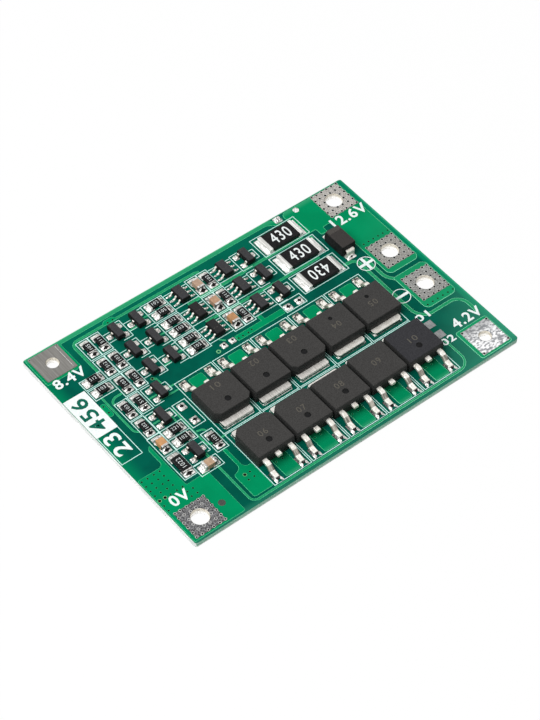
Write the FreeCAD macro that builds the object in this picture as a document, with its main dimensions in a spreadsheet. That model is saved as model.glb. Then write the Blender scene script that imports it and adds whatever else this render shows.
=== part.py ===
import FreeCAD, Part
import os
import re

import Sketcher

doc = FreeCAD.newDocument("battery_management_board")
sheet = doc.addObject("Spreadsheet::Sheet", "Sizes")

# Driving sizes in millimetres. Across is along the long edge (X), back is along the short edge (Y).
SIZES = {
    # Circuit board
    "board_thickness": 1.0,
    "board_corner": 0.25,
    # Wire terminals: square tinned lands with a plated hole
    "terminal_side": 5.25,
    "terminal_corner": 0.12,
    "plating_wall": 0.3,
    "plating_gap": 0.01,
    "large_hole_radius": 1.33,
    "small_hole_radius": 0.93,
    # Clear gaps between the left edge and the right edge, each before the part it is named after
    "left_margin": 0.625,
    "outer_resistor_gap": 2.45,
    "inner_resistor_gap": 0.8,
    "outer_transistor_gap": 0.925,
    "inner_transistor_gap": 1.35,
    "resistor_pair_gap": 1.7,
    "left_chip_gap": 1.6,
    "channel_capacitor_gap": 1.125,
    "filter_resistor_gap": 0.75,
    "right_chip_gap": 0.975,
    "driver_transistor_gap": 1.45,
    "balance_gap": 2.3,
    "diode_gap": 1.475,
    "right_terminals_gap": 1.55,
    "right_margin": 1.075,
    # Clear gaps between the front edge and the back edge
    "front_lead_margin": 1.75,
    "mosfet_row_gap": 1.3,
    "channel_gap": 3.575,
    "channel_row_gap": 1.0,
    "channel_margin": 2.525,
    "channel_pair_gap": 0.65,
    "front_terminals_margin": 0.575,
    "output_minus_gap": 8.0,
    "output_plus_gap": 2.77,
    "back_terminals_margin": 0.325,
    "balance_margin": 2.35,
    "balance_first_gap": 1.3,
    "balance_second_gap": 1.5,
    "diode_offset": 2.3,
    # Solder lands under the parts
    "land_thickness": 0.1,
    "land_margin": 0.2,
    "chip_land_reach": 0.65,
    # Ten power transistors in two rows
    "mosfet_first_gap": 1.075,
    "mosfet_gap": 0.4,
    "mosfet_width": 6.6,
    "mosfet_length": 6.1,
    "mosfet_height": 2.3,
    "mosfet_draft": 6.0,
    "mosfet_corner_cut": 0.8,
    "mosfet_corner_plain": 0.15,
    "mosfet_tab_width": 5.35,
    "mosfet_tab_reach": 3.95,
    "mosfet_tab_inside": 1.2,
    "mosfet_tab_corner": 0.3,
    "mosfet_metal": 0.5,
    "mosfet_lead_width": 0.78,
    "mosfet_lead_place": 2.286,
    "mosfet_lead_height": 1.15,
    "mosfet_lead_shoulder": 1.0,
    "mosfet_lead_foot": 1.1,
    "mosfet_lead_reach": 6.0,
    "mosfet_stub": 0.75,
    "mosfet_land_width": 1.3,
    "dimple_depth": 0.08,
    "dimple_large": 0.5,
    "dimple_small": 0.34,
    "dimple_place": 1.25,
    # Two-pole chip parts: length, width, height and length of each metal end
    "small_chip_length": 2.0,
    "small_chip_width": 1.25,
    "small_chip_height": 0.5,
    "small_chip_end": 0.38,
    "medium_chip_length": 3.2,
    "medium_chip_width": 1.6,
    "medium_chip_height": 0.55,
    "medium_chip_end": 0.5,
    "large_chip_length": 6.4,
    "large_chip_width": 3.2,
    "large_chip_height": 0.6,
    "large_chip_end": 0.65,
    "capacitor_length": 2.0,
    "capacitor_width": 1.25,
    "capacitor_height": 0.9,
    "capacitor_end": 0.45,
    "chip_step": 0.03,
    # Small three-lead and six-lead packages
    "package_length": 2.9,
    "package_height": 0.95,
    "package_lift": 0.1,
    "package_draft": 7.0,
    "package_lead_pitch": 0.95,
    "package_lead_width": 0.4,
    "package_metal": 0.13,
    "package_lead_foot": 0.35,
    "package_lead_shoulder": 0.12,
    "transistor_width": 1.35,
    "transistor_reach": 1.25,
    "transistor_land_width": 0.95,
    "cell_chip_width": 1.6,
    "cell_chip_reach": 1.45,
    "cell_chip_land_width": 0.6,
    # Rectifier diode
    "diode_length": 4.3,
    "diode_width": 2.65,
    "diode_height": 2.0,
    "diode_draft": 5.0,
    "diode_metal": 0.2,
    "diode_lift": 0.25,
    "diode_lead_width": 1.45,
    "diode_lead_reach": 2.6,
    "diode_lead_foot": 1.2,
    # Control corner at the left end: places from the left and front edges, then gaps
    "control_pair_across": 5.9,
    "control_pair_back": 29.15,
    "control_pair_gap": 0.95,
    "control_outer_across": 6.6,
    "control_inner_gap": 0.95,
    "control_top_back": 24.1,
    "control_top_gap": 1.475,
    "control_middle_gap": 2.05,
    "control_column_gap": 1.85,
    "control_flat_gap": 1.425,
    "control_top_transistor_back": 23.95,
    "control_middle_transistor_back": 19.9,
    "control_flat_one_gap": 0.675,
    "control_flat_two_gap": 0.75,
    "control_low_transistor_gap": 0.775,
    "control_low_capacitor_gap": 0.875,
    "control_last_gap": 1.525,
    "control_last_back": 12.35,
    # Bare lands for test and for parts that are not fitted
    "test_land_gap": 1.23,
    "test_land_back": 7.55,
    "test_land_between": 0.9,
    "test_land_side": 1.4,
    "empty_land_side": 1.15,
    "empty_channel_across": 38.0,
    "empty_channel_back": 25.1,
    "empty_channel_spread": 1.05,
    "empty_timer_spread": 0.78,
    "empty_control_back": 18.38,
    "empty_control_spread": 1.5,
}

for row, (size_name, size_value) in enumerate(SIZES.items(), start=1):
    sheet.set(f"A{row}", size_name)
    sheet.set(f"B{row}", str(size_value))
    sheet.setAlias(f"B{row}", size_name)
doc.recompute()

PART_FLOOR = "board_thickness + land_thickness"
ABOVE_Z = FreeCAD.Vector(0, 0, 1)


def rule(text):
    """The same sum, with each size name pointing at its cell in the sheet."""
    return re.sub(r"[a-z_]+", lambda word: f"Sizes.{word[0]}" if word[0] in SIZES else word[0], text)


def bind(thing, prop, text):
    thing.setExpression(prop, rule(text))


def value(text):
    return float(sheet.evalExpression(rule(text)))


# Places on the board, measured from its front left corner

def line_up(steps):
    """The middle of each part in a line, and the far edge, from the gap before a part and its two halves."""
    middles = {}
    edge = "0"
    for name, gap, near_half, far_half in steps:
        middles[name] = f"{edge} + {gap} + {near_half}"
        edge = f"{middles[name]} + {far_half}"
    return middles, edge


LINE_ACROSS = [
    ("left_terminals", "left_margin", "terminal_side / 2"),
    ("outer_resistor", "outer_resistor_gap", "small_chip_width / 2"),
    ("inner_resistor", "inner_resistor_gap", "small_chip_width / 2"),
    ("outer_transistor", "outer_transistor_gap", "transistor_reach"),
    ("inner_transistor", "inner_transistor_gap", "transistor_reach"),
    ("resistor_pair", "resistor_pair_gap", "small_chip_length / 2"),
    ("left_chip", "left_chip_gap", "cell_chip_reach"),
    ("channel_capacitor", "channel_capacitor_gap", "capacitor_width / 2"),
    ("filter_resistor", "filter_resistor_gap", "small_chip_width / 2"),
    ("right_chip", "right_chip_gap", "cell_chip_reach"),
    ("driver_transistor", "driver_transistor_gap", "transistor_reach"),
    ("balance_resistors", "balance_gap", "large_chip_length / 2"),
    ("diode", "diode_gap", "diode_width / 2"),
    ("right_terminals", "right_terminals_gap", "terminal_side / 2"),
]
HALF_CHANNEL = "(small_chip_width + channel_pair_gap / 2)"
LINE_BACK = [
    ("front_mosfets", "front_lead_margin", "mosfet_lead_reach", "mosfet_tab_reach"),
    ("back_mosfets", "mosfet_row_gap", "mosfet_tab_reach", "mosfet_lead_reach"),
    ("front_channel", "channel_gap", HALF_CHANNEL, HALF_CHANNEL),
    ("middle_channel", "channel_row_gap", HALF_CHANNEL, HALF_CHANNEL),
    ("back_channel", "channel_row_gap", HALF_CHANNEL, HALF_CHANNEL),
]
ACROSS, right_end = line_up([(name, gap, half, half) for name, gap, half in LINE_ACROSS])
BACK, back_end = line_up(LINE_BACK)
BOARD_LENGTH = f"({right_end} + right_margin)"
BOARD_WIDTH = f"({back_end} + channel_margin)"

BACK["front_terminals"] = "front_terminals_margin + terminal_side / 2"
BACK["output_minus"] = f"{BACK['front_terminals']} + terminal_side + output_minus_gap"
BACK["output_plus"] = f"{BACK['output_minus']} + terminal_side + output_plus_gap"
BACK["back_terminals"] = f"{BOARD_WIDTH} - back_terminals_margin - terminal_side / 2"

BACK["balance_one"] = f"{BOARD_WIDTH} - balance_margin - large_chip_width / 2"
BACK["balance_two"] = f"{BACK['balance_one']} - large_chip_width - balance_first_gap"
BACK["balance_three"] = f"{BACK['balance_two']} - large_chip_width - balance_second_gap"
BACK["diode"] = f"{BACK['balance_two']} - diode_offset"

CONTROL_TURN = "control_outer_across + small_chip_width / 2 + control_flat_gap + small_chip_length / 2"
ACROSS["control_inner"] = "control_outer_across + small_chip_width + control_inner_gap"
ACROSS["control_top_transistor"] = (
    f"{ACROSS['control_inner']} + small_chip_width / 2 + control_top_gap + transistor_reach"
)
ACROSS["control_flat"] = CONTROL_TURN
ACROSS["control_last"] = f"{CONTROL_TURN} + transistor_reach + control_last_gap + small_chip_width / 2"
ACROSS["first_mosfet"] = (
    f"{ACROSS['control_last']} + small_chip_width / 2 + mosfet_first_gap + mosfet_width / 2"
)

HALF_PACKAGE = "package_length / 2"
BACK["control_pair_two"] = "control_pair_back + small_chip_width + control_pair_gap"
BACK["control_middle"] = "control_top_back - small_chip_length - control_middle_gap"
BACK["control_capacitor"] = (
    f"{BACK['control_middle']} - (small_chip_length + capacitor_length) / 2 - control_column_gap"
)
BACK["control_sense"] = (
    f"{BACK['control_capacitor']} - (capacitor_length + medium_chip_length) / 2 - control_column_gap"
)
BACK["control_flat_one"] = (
    f"control_middle_transistor_back - {HALF_PACKAGE} - control_flat_one_gap - small_chip_width / 2"
)
BACK["control_flat_two"] = f"{BACK['control_flat_one']} - small_chip_width - control_flat_two_gap"
BACK["control_low_transistor"] = (
    f"{BACK['control_flat_two']} - small_chip_width / 2 - control_low_transistor_gap - {HALF_PACKAGE}"
)
BACK["control_low_capacitor"] = (
    f"{BACK['control_low_transistor']} - {HALF_PACKAGE} - control_low_capacitor_gap - capacitor_width / 2"
)


# Bodies, sketches and features

def from_middle(across, back):
    """A place measured from the front left corner, as sums from the middle of the board."""
    return f"{across} - {BOARD_LENGTH} / 2", f"{back} - {BOARD_WIDTH} / 2"


def new_body(name, across, back, up="0", turn=0):
    """An empty body with its own frame at a place on the board, turned about the upright axis."""
    body = doc.addObject("PartDesign::Body", name)
    body.Label = name
    body.Placement = FreeCAD.Placement(FreeCAD.Vector(), FreeCAD.Rotation(ABOVE_Z, turn))
    for axis, text in zip("xyz", (*from_middle(across, back), up)):
        bind(body, f"Placement.Base.{axis}", text)
    return body


def new_sketch(body, role, offset="0"):
    sketch = body.newObject("Sketcher::SketchObject", f"{body.Name}_sketch")
    plane = next(feature for feature in body.Origin.OriginFeatures if feature.Role == role)
    sketch.AttachmentSupport = [(plane, "")]
    sketch.MapMode = "FlatFace"
    bind(sketch, "AttachmentOffset.Base.z", offset)
    return sketch


def outline(sketch, corners):
    """A closed outline of straight sides whose corners follow pairs of sums."""
    points = [FreeCAD.Vector(value(first), value(second), 0) for first, second in corners]
    start = sketch.GeometryCount
    sides = [Part.LineSegment(a, b) for a, b in zip(points, points[1:] + points[:1])]
    sketch.addGeometry(sides, False)
    for side in range(len(sides)):
        following = start + (side + 1) % len(sides)
        sketch.addConstraint(Sketcher.Constraint("Coincident", start + side, 2, following, 1))
    for side, corner in enumerate(corners):
        for kind, text in zip(("DistanceX", "DistanceY"), corner):
            limit = Sketcher.Constraint(kind, -1, 1, start + side, 1, value(text))
            bind(sketch, f"Constraints[{sketch.addConstraint(limit)}]", text)


def rectangle(sketch, width, depth, across="0", back="0"):
    """A rectangle about a centre."""
    left, right = f"{across} - ({width}) / 2", f"{across} + ({width}) / 2"
    front, rear = f"{back} - ({depth}) / 2", f"{back} + ({depth}) / 2"
    outline(sketch, [(left, front), (right, front), (right, rear), (left, rear)])


def circle(sketch, radius, across="0", back="0"):
    centre = FreeCAD.Vector(value(across), value(back), 0)
    ring = sketch.addGeometry(Part.Circle(centre, FreeCAD.Vector(0, 0, 1), value(radius)), False)
    limits = (
        (Sketcher.Constraint("Radius", ring, value(radius)), radius),
        (Sketcher.Constraint("DistanceX", -1, 1, ring, 3, centre.x), across),
        (Sketcher.Constraint("DistanceY", -1, 1, ring, 3, centre.y), back),
    )
    for limit, text in limits:
        bind(sketch, f"Constraints[{sketch.addConstraint(limit)}]", text)


def pad(body, sketch, length, sides="One side"):
    feature = body.newObject("PartDesign::Pad", f"{body.Name}_pad")
    feature.Profile = sketch
    feature.SideType = sides
    bind(feature, "Length", length)
    return feature


def pocket(body, sketch, length, upward=False):
    feature = body.newObject("PartDesign::Pocket", f"{body.Name}_pocket")
    feature.Profile = sketch
    feature.Reversed = upward
    bind(feature, "Length", length)
    return feature


def repeat(body, feature, role, length, count):
    """Equal copies of one feature in a line along an axis of the body."""
    pattern = body.newObject("PartDesign::LinearPattern", f"{body.Name}_row")
    axis = next(item for item in body.Origin.OriginFeatures if item.Role == role)
    pattern.Originals = [feature]
    pattern.Direction = (axis, [""])
    bind(pattern, "Length", length)
    pattern.Occurrences = count
    body.Tip = pattern


def drafted_block(body, corners, parting, height, lift, draft):
    """A moulded block that narrows above and below the plane where its leads come out."""
    sketch = new_sketch(body, "XY_Plane", parting)
    outline(sketch, corners)
    block = pad(body, sketch, f"{lift} + {height} - ({parting})", "Two sides")
    bind(block, "Length2", f"{parting} - ({lift})")
    bind(block, "TaperAngle", f"-{draft}")
    bind(block, "TaperAngle2", f"-{draft}")


def box_corners(width, depth):
    """The four corners of a rectangle about the body's own origin."""
    half_width, half_depth = f"({width}) / 2", f"({depth}) / 2"
    return [
        (f"-{half_width}", f"-{half_depth}"),
        (half_width, f"-{half_depth}"),
        (half_width, half_depth),
        (f"-{half_width}", half_depth),
    ]


def gull_wing(sketch, side, root, reach, level, metal, shoulder, foot):
    """The side view of a lead: straight out of the body, down a slope, and along its foot."""
    profile = [
        (root, f"{level} + {metal} / 2"),
        (f"{root} + {shoulder}", f"{level} + {metal} / 2"),
        (f"{reach} - {foot}", metal),
        (reach, metal),
        (reach, "0"),
        (f"{reach} - {foot} - {metal} / 2", "0"),
        (f"{root} + {shoulder} - {metal} / 2", f"{level} - {metal} / 2"),
        (root, f"{level} - {metal} / 2"),
    ]
    outline(sketch, [(f"{side} * ({out})", up) for out, up in profile])


# Circuit board with the drilled holes of its terminals

TERMINALS = {
    "terminal_cell_two": ("left_terminals", "back_terminals", "small_hole_radius"),
    "terminal_cell_three": ("right_terminals", "back_terminals", "large_hole_radius"),
    "terminal_output_plus": ("right_terminals", "output_plus", "large_hole_radius"),
    "terminal_output_minus": ("right_terminals", "output_minus", "large_hole_radius"),
    "terminal_cell_one": ("right_terminals", "front_terminals", "small_hole_radius"),
    "terminal_cell_zero": ("left_terminals", "front_terminals", "large_hole_radius"),
}


def cut_corner_outline(sketch, width, depth, corner):
    """A rectangle about the origin with its four corners cut off."""
    right, rear = f"({width}) / 2", f"({depth}) / 2"
    outline(sketch, [
        (f"-{right}", f"-{rear} + {corner}"),
        (f"-{right} + {corner}", f"-{rear}"),
        (f"{right} - {corner}", f"-{rear}"),
        (right, f"-{rear} + {corner}"),
        (right, f"{rear} - {corner}"),
        (f"{right} - {corner}", rear),
        (f"-{right} + {corner}", rear),
        (f"-{right}", f"{rear} - {corner}"),
    ])


def circuit_board():
    body = new_body("circuit_board", f"{BOARD_LENGTH} / 2", f"{BOARD_WIDTH} / 2")
    sketch = new_sketch(body, "XY_Plane")
    cut_corner_outline(sketch, BOARD_LENGTH, BOARD_WIDTH, "board_corner")
    pad(body, sketch, "board_thickness")
    drilled = new_sketch(body, "XY_Plane", "board_thickness")
    for across, back, radius in TERMINALS.values():
        place = from_middle(ACROSS[across], BACK[back])
        circle(drilled, f"{radius} + plating_wall + plating_gap", *place)
    pocket(body, drilled, "board_thickness")
    return body


def terminal(name, across, back, radius):
    """A square land on the board with a plated barrel through the hole."""
    body = new_body(name, ACROSS[across], BACK[back])
    land = new_sketch(body, "XY_Plane", "board_thickness")
    cut_corner_outline(land, "terminal_side", "terminal_side", "terminal_corner")
    pad(body, land, "land_thickness")
    barrel = new_sketch(body, "XY_Plane")
    circle(barrel, f"{radius} + plating_wall")
    pad(body, barrel, PART_FLOOR)
    bore = new_sketch(body, "XY_Plane", PART_FLOOR)
    circle(bore, radius)
    pocket(body, bore, PART_FLOOR)
    return body


# Solder lands: thin tinned rectangles that carry the parts

lands = []


def land(across, back, width, depth):
    block = doc.addObject("Part::Box", "land")
    sizes = (("Length", width), ("Width", depth), ("Height", "land_thickness"))
    for prop, text in sizes:
        bind(block, prop, text)
    corner = from_middle(f"{across} - ({width}) / 2", f"{back} - ({depth}) / 2")
    for axis, text in zip("xyz", (*corner, "board_thickness")):
        bind(block, f"Placement.Base.{axis}", text)
    lands.append(block)


# Two-pole chip parts

def chip(name, kind, across, back, upright=False):
    """A flat block between two wrapped metal ends, lying on two lands."""
    body = new_body(name, across, back, PART_FLOOR, 90 if upright else 0)
    core = new_sketch(body, "XY_Plane", "chip_step")
    rectangle(core, f"{kind}_length - 2 * chip_step", f"{kind}_width - 2 * chip_step")
    pad(body, core, f"{kind}_height - 2 * chip_step")
    ends = new_sketch(body, "XY_Plane")
    end_place = f"({kind}_length - {kind}_end) / 2"
    for side in ("-", ""):
        rectangle(ends, f"{kind}_end", f"{kind}_width", f"{side}{end_place}")
    pad(body, ends, f"{kind}_height")
    long_side = f"{kind}_end + land_margin + chip_land_reach"
    short_side = f"{kind}_width + land_margin"
    land_place = f"({kind}_length - {kind}_end - land_margin + chip_land_reach) / 2"
    for sign in "-+":
        if upright:
            land(across, f"{back} {sign} {land_place}", short_side, long_side)
        else:
            land(f"{across} {sign} {land_place}", back, long_side, short_side)
    return body


# Small moulded packages with leads along X

PARTING = "package_lift + package_height / 2"


def package(name, kind, across, back):
    body = new_body(name, across, back, PART_FLOOR)
    corners = box_corners(f"{kind}_width", "package_length")
    drafted_block(body, corners, PARTING, "package_height", "package_lift", "package_draft")
    return body


def package_leads(name, kind, across, back, left_count, right_count):
    """The leads of one package: three on a side stand at the pitch, two leave out the middle, one is alone."""
    reach = f"{kind}_reach"
    body = new_body(f"{name}_leads", across, back, PART_FLOOR)
    for sign, count in (("-1", left_count), ("1", right_count)):
        start = "0" if count == 1 else "package_lead_pitch"
        sketch = new_sketch(body, "XZ_Plane", start)
        lead_sizes = (PARTING, "package_metal", "package_lead_shoulder", "package_lead_foot")
        gull_wing(sketch, sign, f"{kind}_width / 2", reach, *lead_sizes)
        lead = pad(body, sketch, "package_lead_width", "Symmetric")
        if count > 1:
            repeat(body, lead, "Y_Axis", "2 * package_lead_pitch", count)
        for place in {1: (0,), 2: (-1, 1), 3: (-1, 0, 1)}[count]:
            middle = f"{reach} - package_lead_foot / 2"
            land(
                f"{across} + {sign} * ({middle})",
                f"{back} + {place} * package_lead_pitch",
                "package_lead_foot + 2 * land_margin",
                f"{kind}_land_width",
            )
    return body


# Power transistors: a moulded body over a metal tab, with two long leads and a cut one between

def mosfet_body(name, across, back, turn, corner, dimple_place, dimple):
    body = new_body(name, across, back, PART_FLOOR, turn)
    side, end = "mosfet_width / 2", "mosfet_length / 2"
    corners = [
        (f"-{side}", end),
        (f"-{side}", f"-{end} + {corner}"),
        (f"-{side} + {corner}", f"-{end}"),
        (f"{side} - {corner}", f"-{end}"),
        (side, f"-{end} + {corner}"),
        (side, end),
    ]
    drafted_block(body, corners, "mosfet_lead_height", "mosfet_height", "0", "mosfet_draft")
    recess = new_sketch(body, "XY_Plane")
    tab_length = "mosfet_tab_reach + mosfet_tab_inside"
    tab_middle = "(mosfet_tab_inside - mosfet_tab_reach) / 2"
    rectangle(recess, "mosfet_tab_width", tab_length, "0", tab_middle)
    pocket(body, recess, "mosfet_metal", upward=True)
    if dimple:
        mark = new_sketch(body, "XY_Plane", "mosfet_height")
        circle(mark, dimple, "0", dimple_place)
        pocket(body, mark, "dimple_depth")
    return body


def mosfet_frame(name, across, back, turn):
    body = new_body(name, across, back, PART_FLOOR, turn)
    tab = new_sketch(body, "XY_Plane")
    side, end, cut = "mosfet_tab_width / 2", "mosfet_tab_reach", "mosfet_tab_corner"
    outline(tab, [
        (f"-{side}", "mosfet_tab_inside"),
        (f"-{side}", f"-{end} + {cut}"),
        (f"-{side} + {cut}", f"-{end}"),
        (f"{side} - {cut}", f"-{end}"),
        (side, f"-{end} + {cut}"),
        (side, "mosfet_tab_inside"),
    ])
    pad(body, tab, "mosfet_metal")
    stub = new_sketch(body, "YZ_Plane")
    rectangle(
        stub, "mosfet_stub", "mosfet_metal", "mosfet_length / 2 + mosfet_stub / 2", "mosfet_lead_height"
    )
    pad(body, stub, "mosfet_lead_width", "Symmetric")
    wing = new_sketch(body, "YZ_Plane", "-mosfet_lead_place")
    gull_wing(
        wing, "1", "mosfet_length / 2", "mosfet_lead_reach",
        "mosfet_lead_height", "mosfet_metal", "mosfet_lead_shoulder", "mosfet_lead_foot",
    )
    lead = pad(body, wing, "mosfet_lead_width", "Symmetric")
    repeat(body, lead, "X_Axis", "2 * mosfet_lead_place", 2)
    return body


def mosfet_lands(across, back, sign):
    """One land under the tab and one under each long lead. Sign is + where the leads point to the back."""
    away = {"+": "-", "-": "+"}[sign]
    tab_length = "mosfet_tab_reach + mosfet_tab_inside + land_margin"
    tab_middle = "(mosfet_tab_reach - mosfet_tab_inside + land_margin) / 2"
    land(across, f"{back} {away} {tab_middle}", "mosfet_tab_width + 2 * land_margin", tab_length)
    foot_middle = "(mosfet_lead_reach - mosfet_lead_foot / 2)"
    for side in "-+":
        land(
            f"{across} {side} mosfet_lead_place",
            f"{back} {sign} {foot_middle}",
            "mosfet_land_width",
            "mosfet_lead_foot + 2 * land_margin",
        )


# Rectifier diode: a moulded block with two leads bent under it

def diode_body():
    body = new_body("diode_body", ACROSS["diode"], BACK["diode"], PART_FLOOR)
    corners = box_corners("diode_width", "diode_length")
    parting = "diode_lift + diode_height / 2"
    drafted_block(body, corners, parting, "diode_height", "diode_lift", "diode_draft")
    return body


def diode_leads():
    body = new_body("diode_leads", ACROSS["diode"], BACK["diode"], PART_FLOOR)
    sketch = new_sketch(body, "YZ_Plane")
    level, metal, reach = "diode_lift + diode_height / 2", "diode_metal", "diode_lead_reach"
    profile = [
        ("diode_length / 2", f"{level} + {metal} / 2"),
        (reach, f"{level} + {metal} / 2"),
        (reach, "0"),
        (f"{reach} - diode_lead_foot", "0"),
        (f"{reach} - diode_lead_foot", metal),
        (f"{reach} - {metal}", metal),
        (f"{reach} - {metal}", f"{level} - {metal} / 2"),
        ("diode_length / 2", f"{level} - {metal} / 2"),
    ]
    for side in ("-1", "1"):
        outline(sketch, [(f"{side} * ({out})", up) for out, up in profile])
    pad(body, sketch, "diode_lead_width", "Symmetric")
    for sign in "-+":
        land(
            ACROSS["diode"],
            f"{BACK['diode']} {sign} (diode_lead_reach - diode_lead_foot / 2 + land_margin)",
            "diode_lead_width + land_margin",
            "diode_lead_foot + 2 * land_margin",
        )
    return body


def group(name, members):
    """Like pieces that share one node as separate solids."""
    compound = doc.addObject("Part::Compound", name)
    compound.Label = name
    compound.Links = members
    return compound


# The assembly

nodes = [circuit_board()]
for terminal_name, place in TERMINALS.items():
    nodes.append(terminal(terminal_name, *place))

MOSFET_COLUMNS = 5
BACK_ROW_LOOKS = [
    ("mosfet_corner_cut", "-dimple_place", "dimple_large"),
    ("mosfet_corner_plain", "-dimple_place", "dimple_large"),
    ("mosfet_corner_cut", "-dimple_place", "dimple_large"),
    ("mosfet_corner_plain", "dimple_place", "dimple_small"),
    ("mosfet_corner_plain", "dimple_place", "dimple_small"),
]
FRONT_ROW_LOOKS = [
    ("mosfet_corner_cut", "dimple_place", "dimple_large"),
    ("mosfet_corner_cut", "dimple_place", "dimple_large"),
    ("mosfet_corner_plain", "dimple_place", "dimple_large"),
    ("mosfet_corner_plain", "dimple_place", None),
    ("mosfet_corner_plain", "dimple_place", "dimple_large"),
]
MOSFET_ROWS = [
    ("back_mosfets", 0, "+", BACK_ROW_LOOKS),
    ("front_mosfets", 180, "-", FRONT_ROW_LOOKS),
]
for row_number, (row_name, row_turn, row_sign, looks) in enumerate(MOSFET_ROWS):
    row_back = BACK[row_name]
    for column, look in enumerate(looks):
        number = row_number * MOSFET_COLUMNS + column + 1
        column_across = f"{ACROSS['first_mosfet']} + {column} * (mosfet_width + mosfet_gap)"
        nodes.append(mosfet_body(f"mosfet_body_{number}", column_across, row_back, row_turn, *look))
        nodes.append(mosfet_frame(f"mosfet_frame_{number}", column_across, row_back, row_turn))
        mosfet_lands(column_across, row_back, row_sign)

for number, place in enumerate(("balance_one", "balance_two", "balance_three"), start=1):
    name = f"balance_resistor_{number}"
    nodes.append(chip(name, "large_chip", ACROSS["balance_resistors"], BACK[place]))

nodes.append(diode_body())
nodes.append(diode_leads())

CHANNELS = ("back_channel", "middle_channel", "front_channel")
UPRIGHT_RESISTORS = ("outer_resistor", "inner_resistor", "filter_resistor")
CHANNEL_CHIPS = ("left_chip", "right_chip")
CHANNEL_TRANSISTORS = [
    ("outer_transistor", 1, 2),
    ("inner_transistor", 1, 2),
    ("driver_transistor", 2, 1),
]
CONTROL_TRANSISTORS = [
    (ACROSS["control_top_transistor"], "control_top_transistor_back"),
    (ACROSS["control_flat"], "control_middle_transistor_back"),
    (ACROSS["control_flat"], BACK["control_low_transistor"]),
]

channel_resistors = []
capacitor_places = []
chip_places = []
transistor_places = []
for channel in CHANNELS:
    channel_back = BACK[channel]
    for place in UPRIGHT_RESISTORS:
        name = f"channel_resistor_{len(channel_resistors) + 1}"
        channel_resistors.append(chip(name, "small_chip", ACROSS[place], channel_back, True))
    for sign in "+-":
        name = f"channel_resistor_{len(channel_resistors) + 1}"
        pair_back = f"{channel_back} {sign} (small_chip_width + channel_pair_gap) / 2"
        channel_resistors.append(chip(name, "small_chip", ACROSS["resistor_pair"], pair_back))
    capacitor_places.append((ACROSS["channel_capacitor"], channel_back, True))
    chip_places += [(ACROSS[place], channel_back) for place in CHANNEL_CHIPS]
    transistor_places += [
        (ACROSS[place], channel_back, left, right) for place, left, right in CHANNEL_TRANSISTORS
    ]
capacitor_places.append(("control_outer_across", BACK["control_capacitor"], True))
capacitor_places.append((ACROSS["control_flat"], BACK["control_low_capacitor"], False))
transistor_places += [(across, back, 2, 1) for across, back in CONTROL_TRANSISTORS]

for number, (across, back, upright) in enumerate(capacitor_places, start=1):
    nodes.append(chip(f"capacitor_{number}", "capacitor", across, back, upright))

chip_leads = []
for number, (across, back) in enumerate(chip_places, start=1):
    name = f"cell_chip_{number}"
    nodes.append(package(name, "cell_chip", across, back))
    chip_leads.append(package_leads(name, "cell_chip", across, back, 3, 3))
nodes.append(group("cell_chip_leads", chip_leads))

transistor_leads = []
for number, (across, back, left, right) in enumerate(transistor_places, start=1):
    name = f"transistor_{number}"
    nodes.append(package(name, "transistor", across, back))
    transistor_leads.append(package_leads(name, "transistor", across, back, left, right))
nodes.append(group("transistor_leads", transistor_leads))

CONTROL_RESISTORS = [
    ("small_chip", "control_pair_across", BACK["control_pair_two"], False),
    ("small_chip", "control_pair_across", "control_pair_back", False),
    ("small_chip", "control_outer_across", "control_top_back", True),
    ("small_chip", ACROSS["control_inner"], "control_top_back", True),
    ("small_chip", "control_outer_across", BACK["control_middle"], True),
    ("small_chip", ACROSS["control_flat"], BACK["control_flat_one"], False),
    ("small_chip", ACROSS["control_flat"], BACK["control_flat_two"], False),
    ("small_chip", ACROSS["control_last"], "control_last_back", True),
    ("medium_chip", "control_outer_across", BACK["control_sense"], True),
]
control_resistors = [
    chip(f"control_resistor_{number}", *place)
    for number, place in enumerate(CONTROL_RESISTORS, start=1)
]
nodes.append(group("channel_resistors", channel_resistors))
nodes.append(group("control_resistors", control_resistors))

test_across = f"{column_across} + mosfet_width / 2 + test_land_gap + test_land_side / 2"
BARE_LANDS = [
    (test_across, "test_land_back + test_land_side + test_land_between", "test_land_side"),
    (test_across, "test_land_back", "test_land_side"),
]
for sign in "-+":
    timer_across = f"{ACROSS['left_chip']} {sign} empty_timer_spread"
    control_back = f"empty_control_back {sign} empty_control_spread"
    BARE_LANDS += [
        (f"empty_channel_across {sign} empty_channel_spread", "empty_channel_back", "empty_land_side"),
        (timer_across, "empty_channel_back", "empty_land_side"),
        (ACROSS["control_last"], control_back, "empty_land_side"),
    ]
for across, back, side in BARE_LANDS:
    land(across, back, side, side)
nodes.append(group("solder_lands", lands))

doc.recompute()

for item in doc.Objects:
    if "Invalid" in item.State or "Error" in item.State:
        raise RuntimeError(f"{item.Label} did not compute: {item.State}")
for node in nodes:
    if node.Shape.isNull() or not node.Shape.isValid():
        raise RuntimeError(f"{node.Label} has no valid shape")

os.makedirs("parts", exist_ok=True)
for node in nodes:
    node.Shape.exportStep(f"parts/{node.Label}.step")
print(len(nodes), "sub-parts written")
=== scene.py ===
import math
import random

import bpy
from mathutils import Matrix, Vector
from mathutils.geometry import tessellate_polygon


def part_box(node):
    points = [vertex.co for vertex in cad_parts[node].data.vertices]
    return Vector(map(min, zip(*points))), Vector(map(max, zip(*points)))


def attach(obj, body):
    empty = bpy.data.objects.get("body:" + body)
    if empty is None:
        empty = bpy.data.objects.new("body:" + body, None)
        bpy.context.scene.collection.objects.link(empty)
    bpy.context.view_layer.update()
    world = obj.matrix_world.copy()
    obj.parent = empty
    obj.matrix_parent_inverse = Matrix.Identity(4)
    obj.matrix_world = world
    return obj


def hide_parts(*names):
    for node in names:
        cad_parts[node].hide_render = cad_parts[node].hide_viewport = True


# Camera, fitted to the photograph

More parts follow.
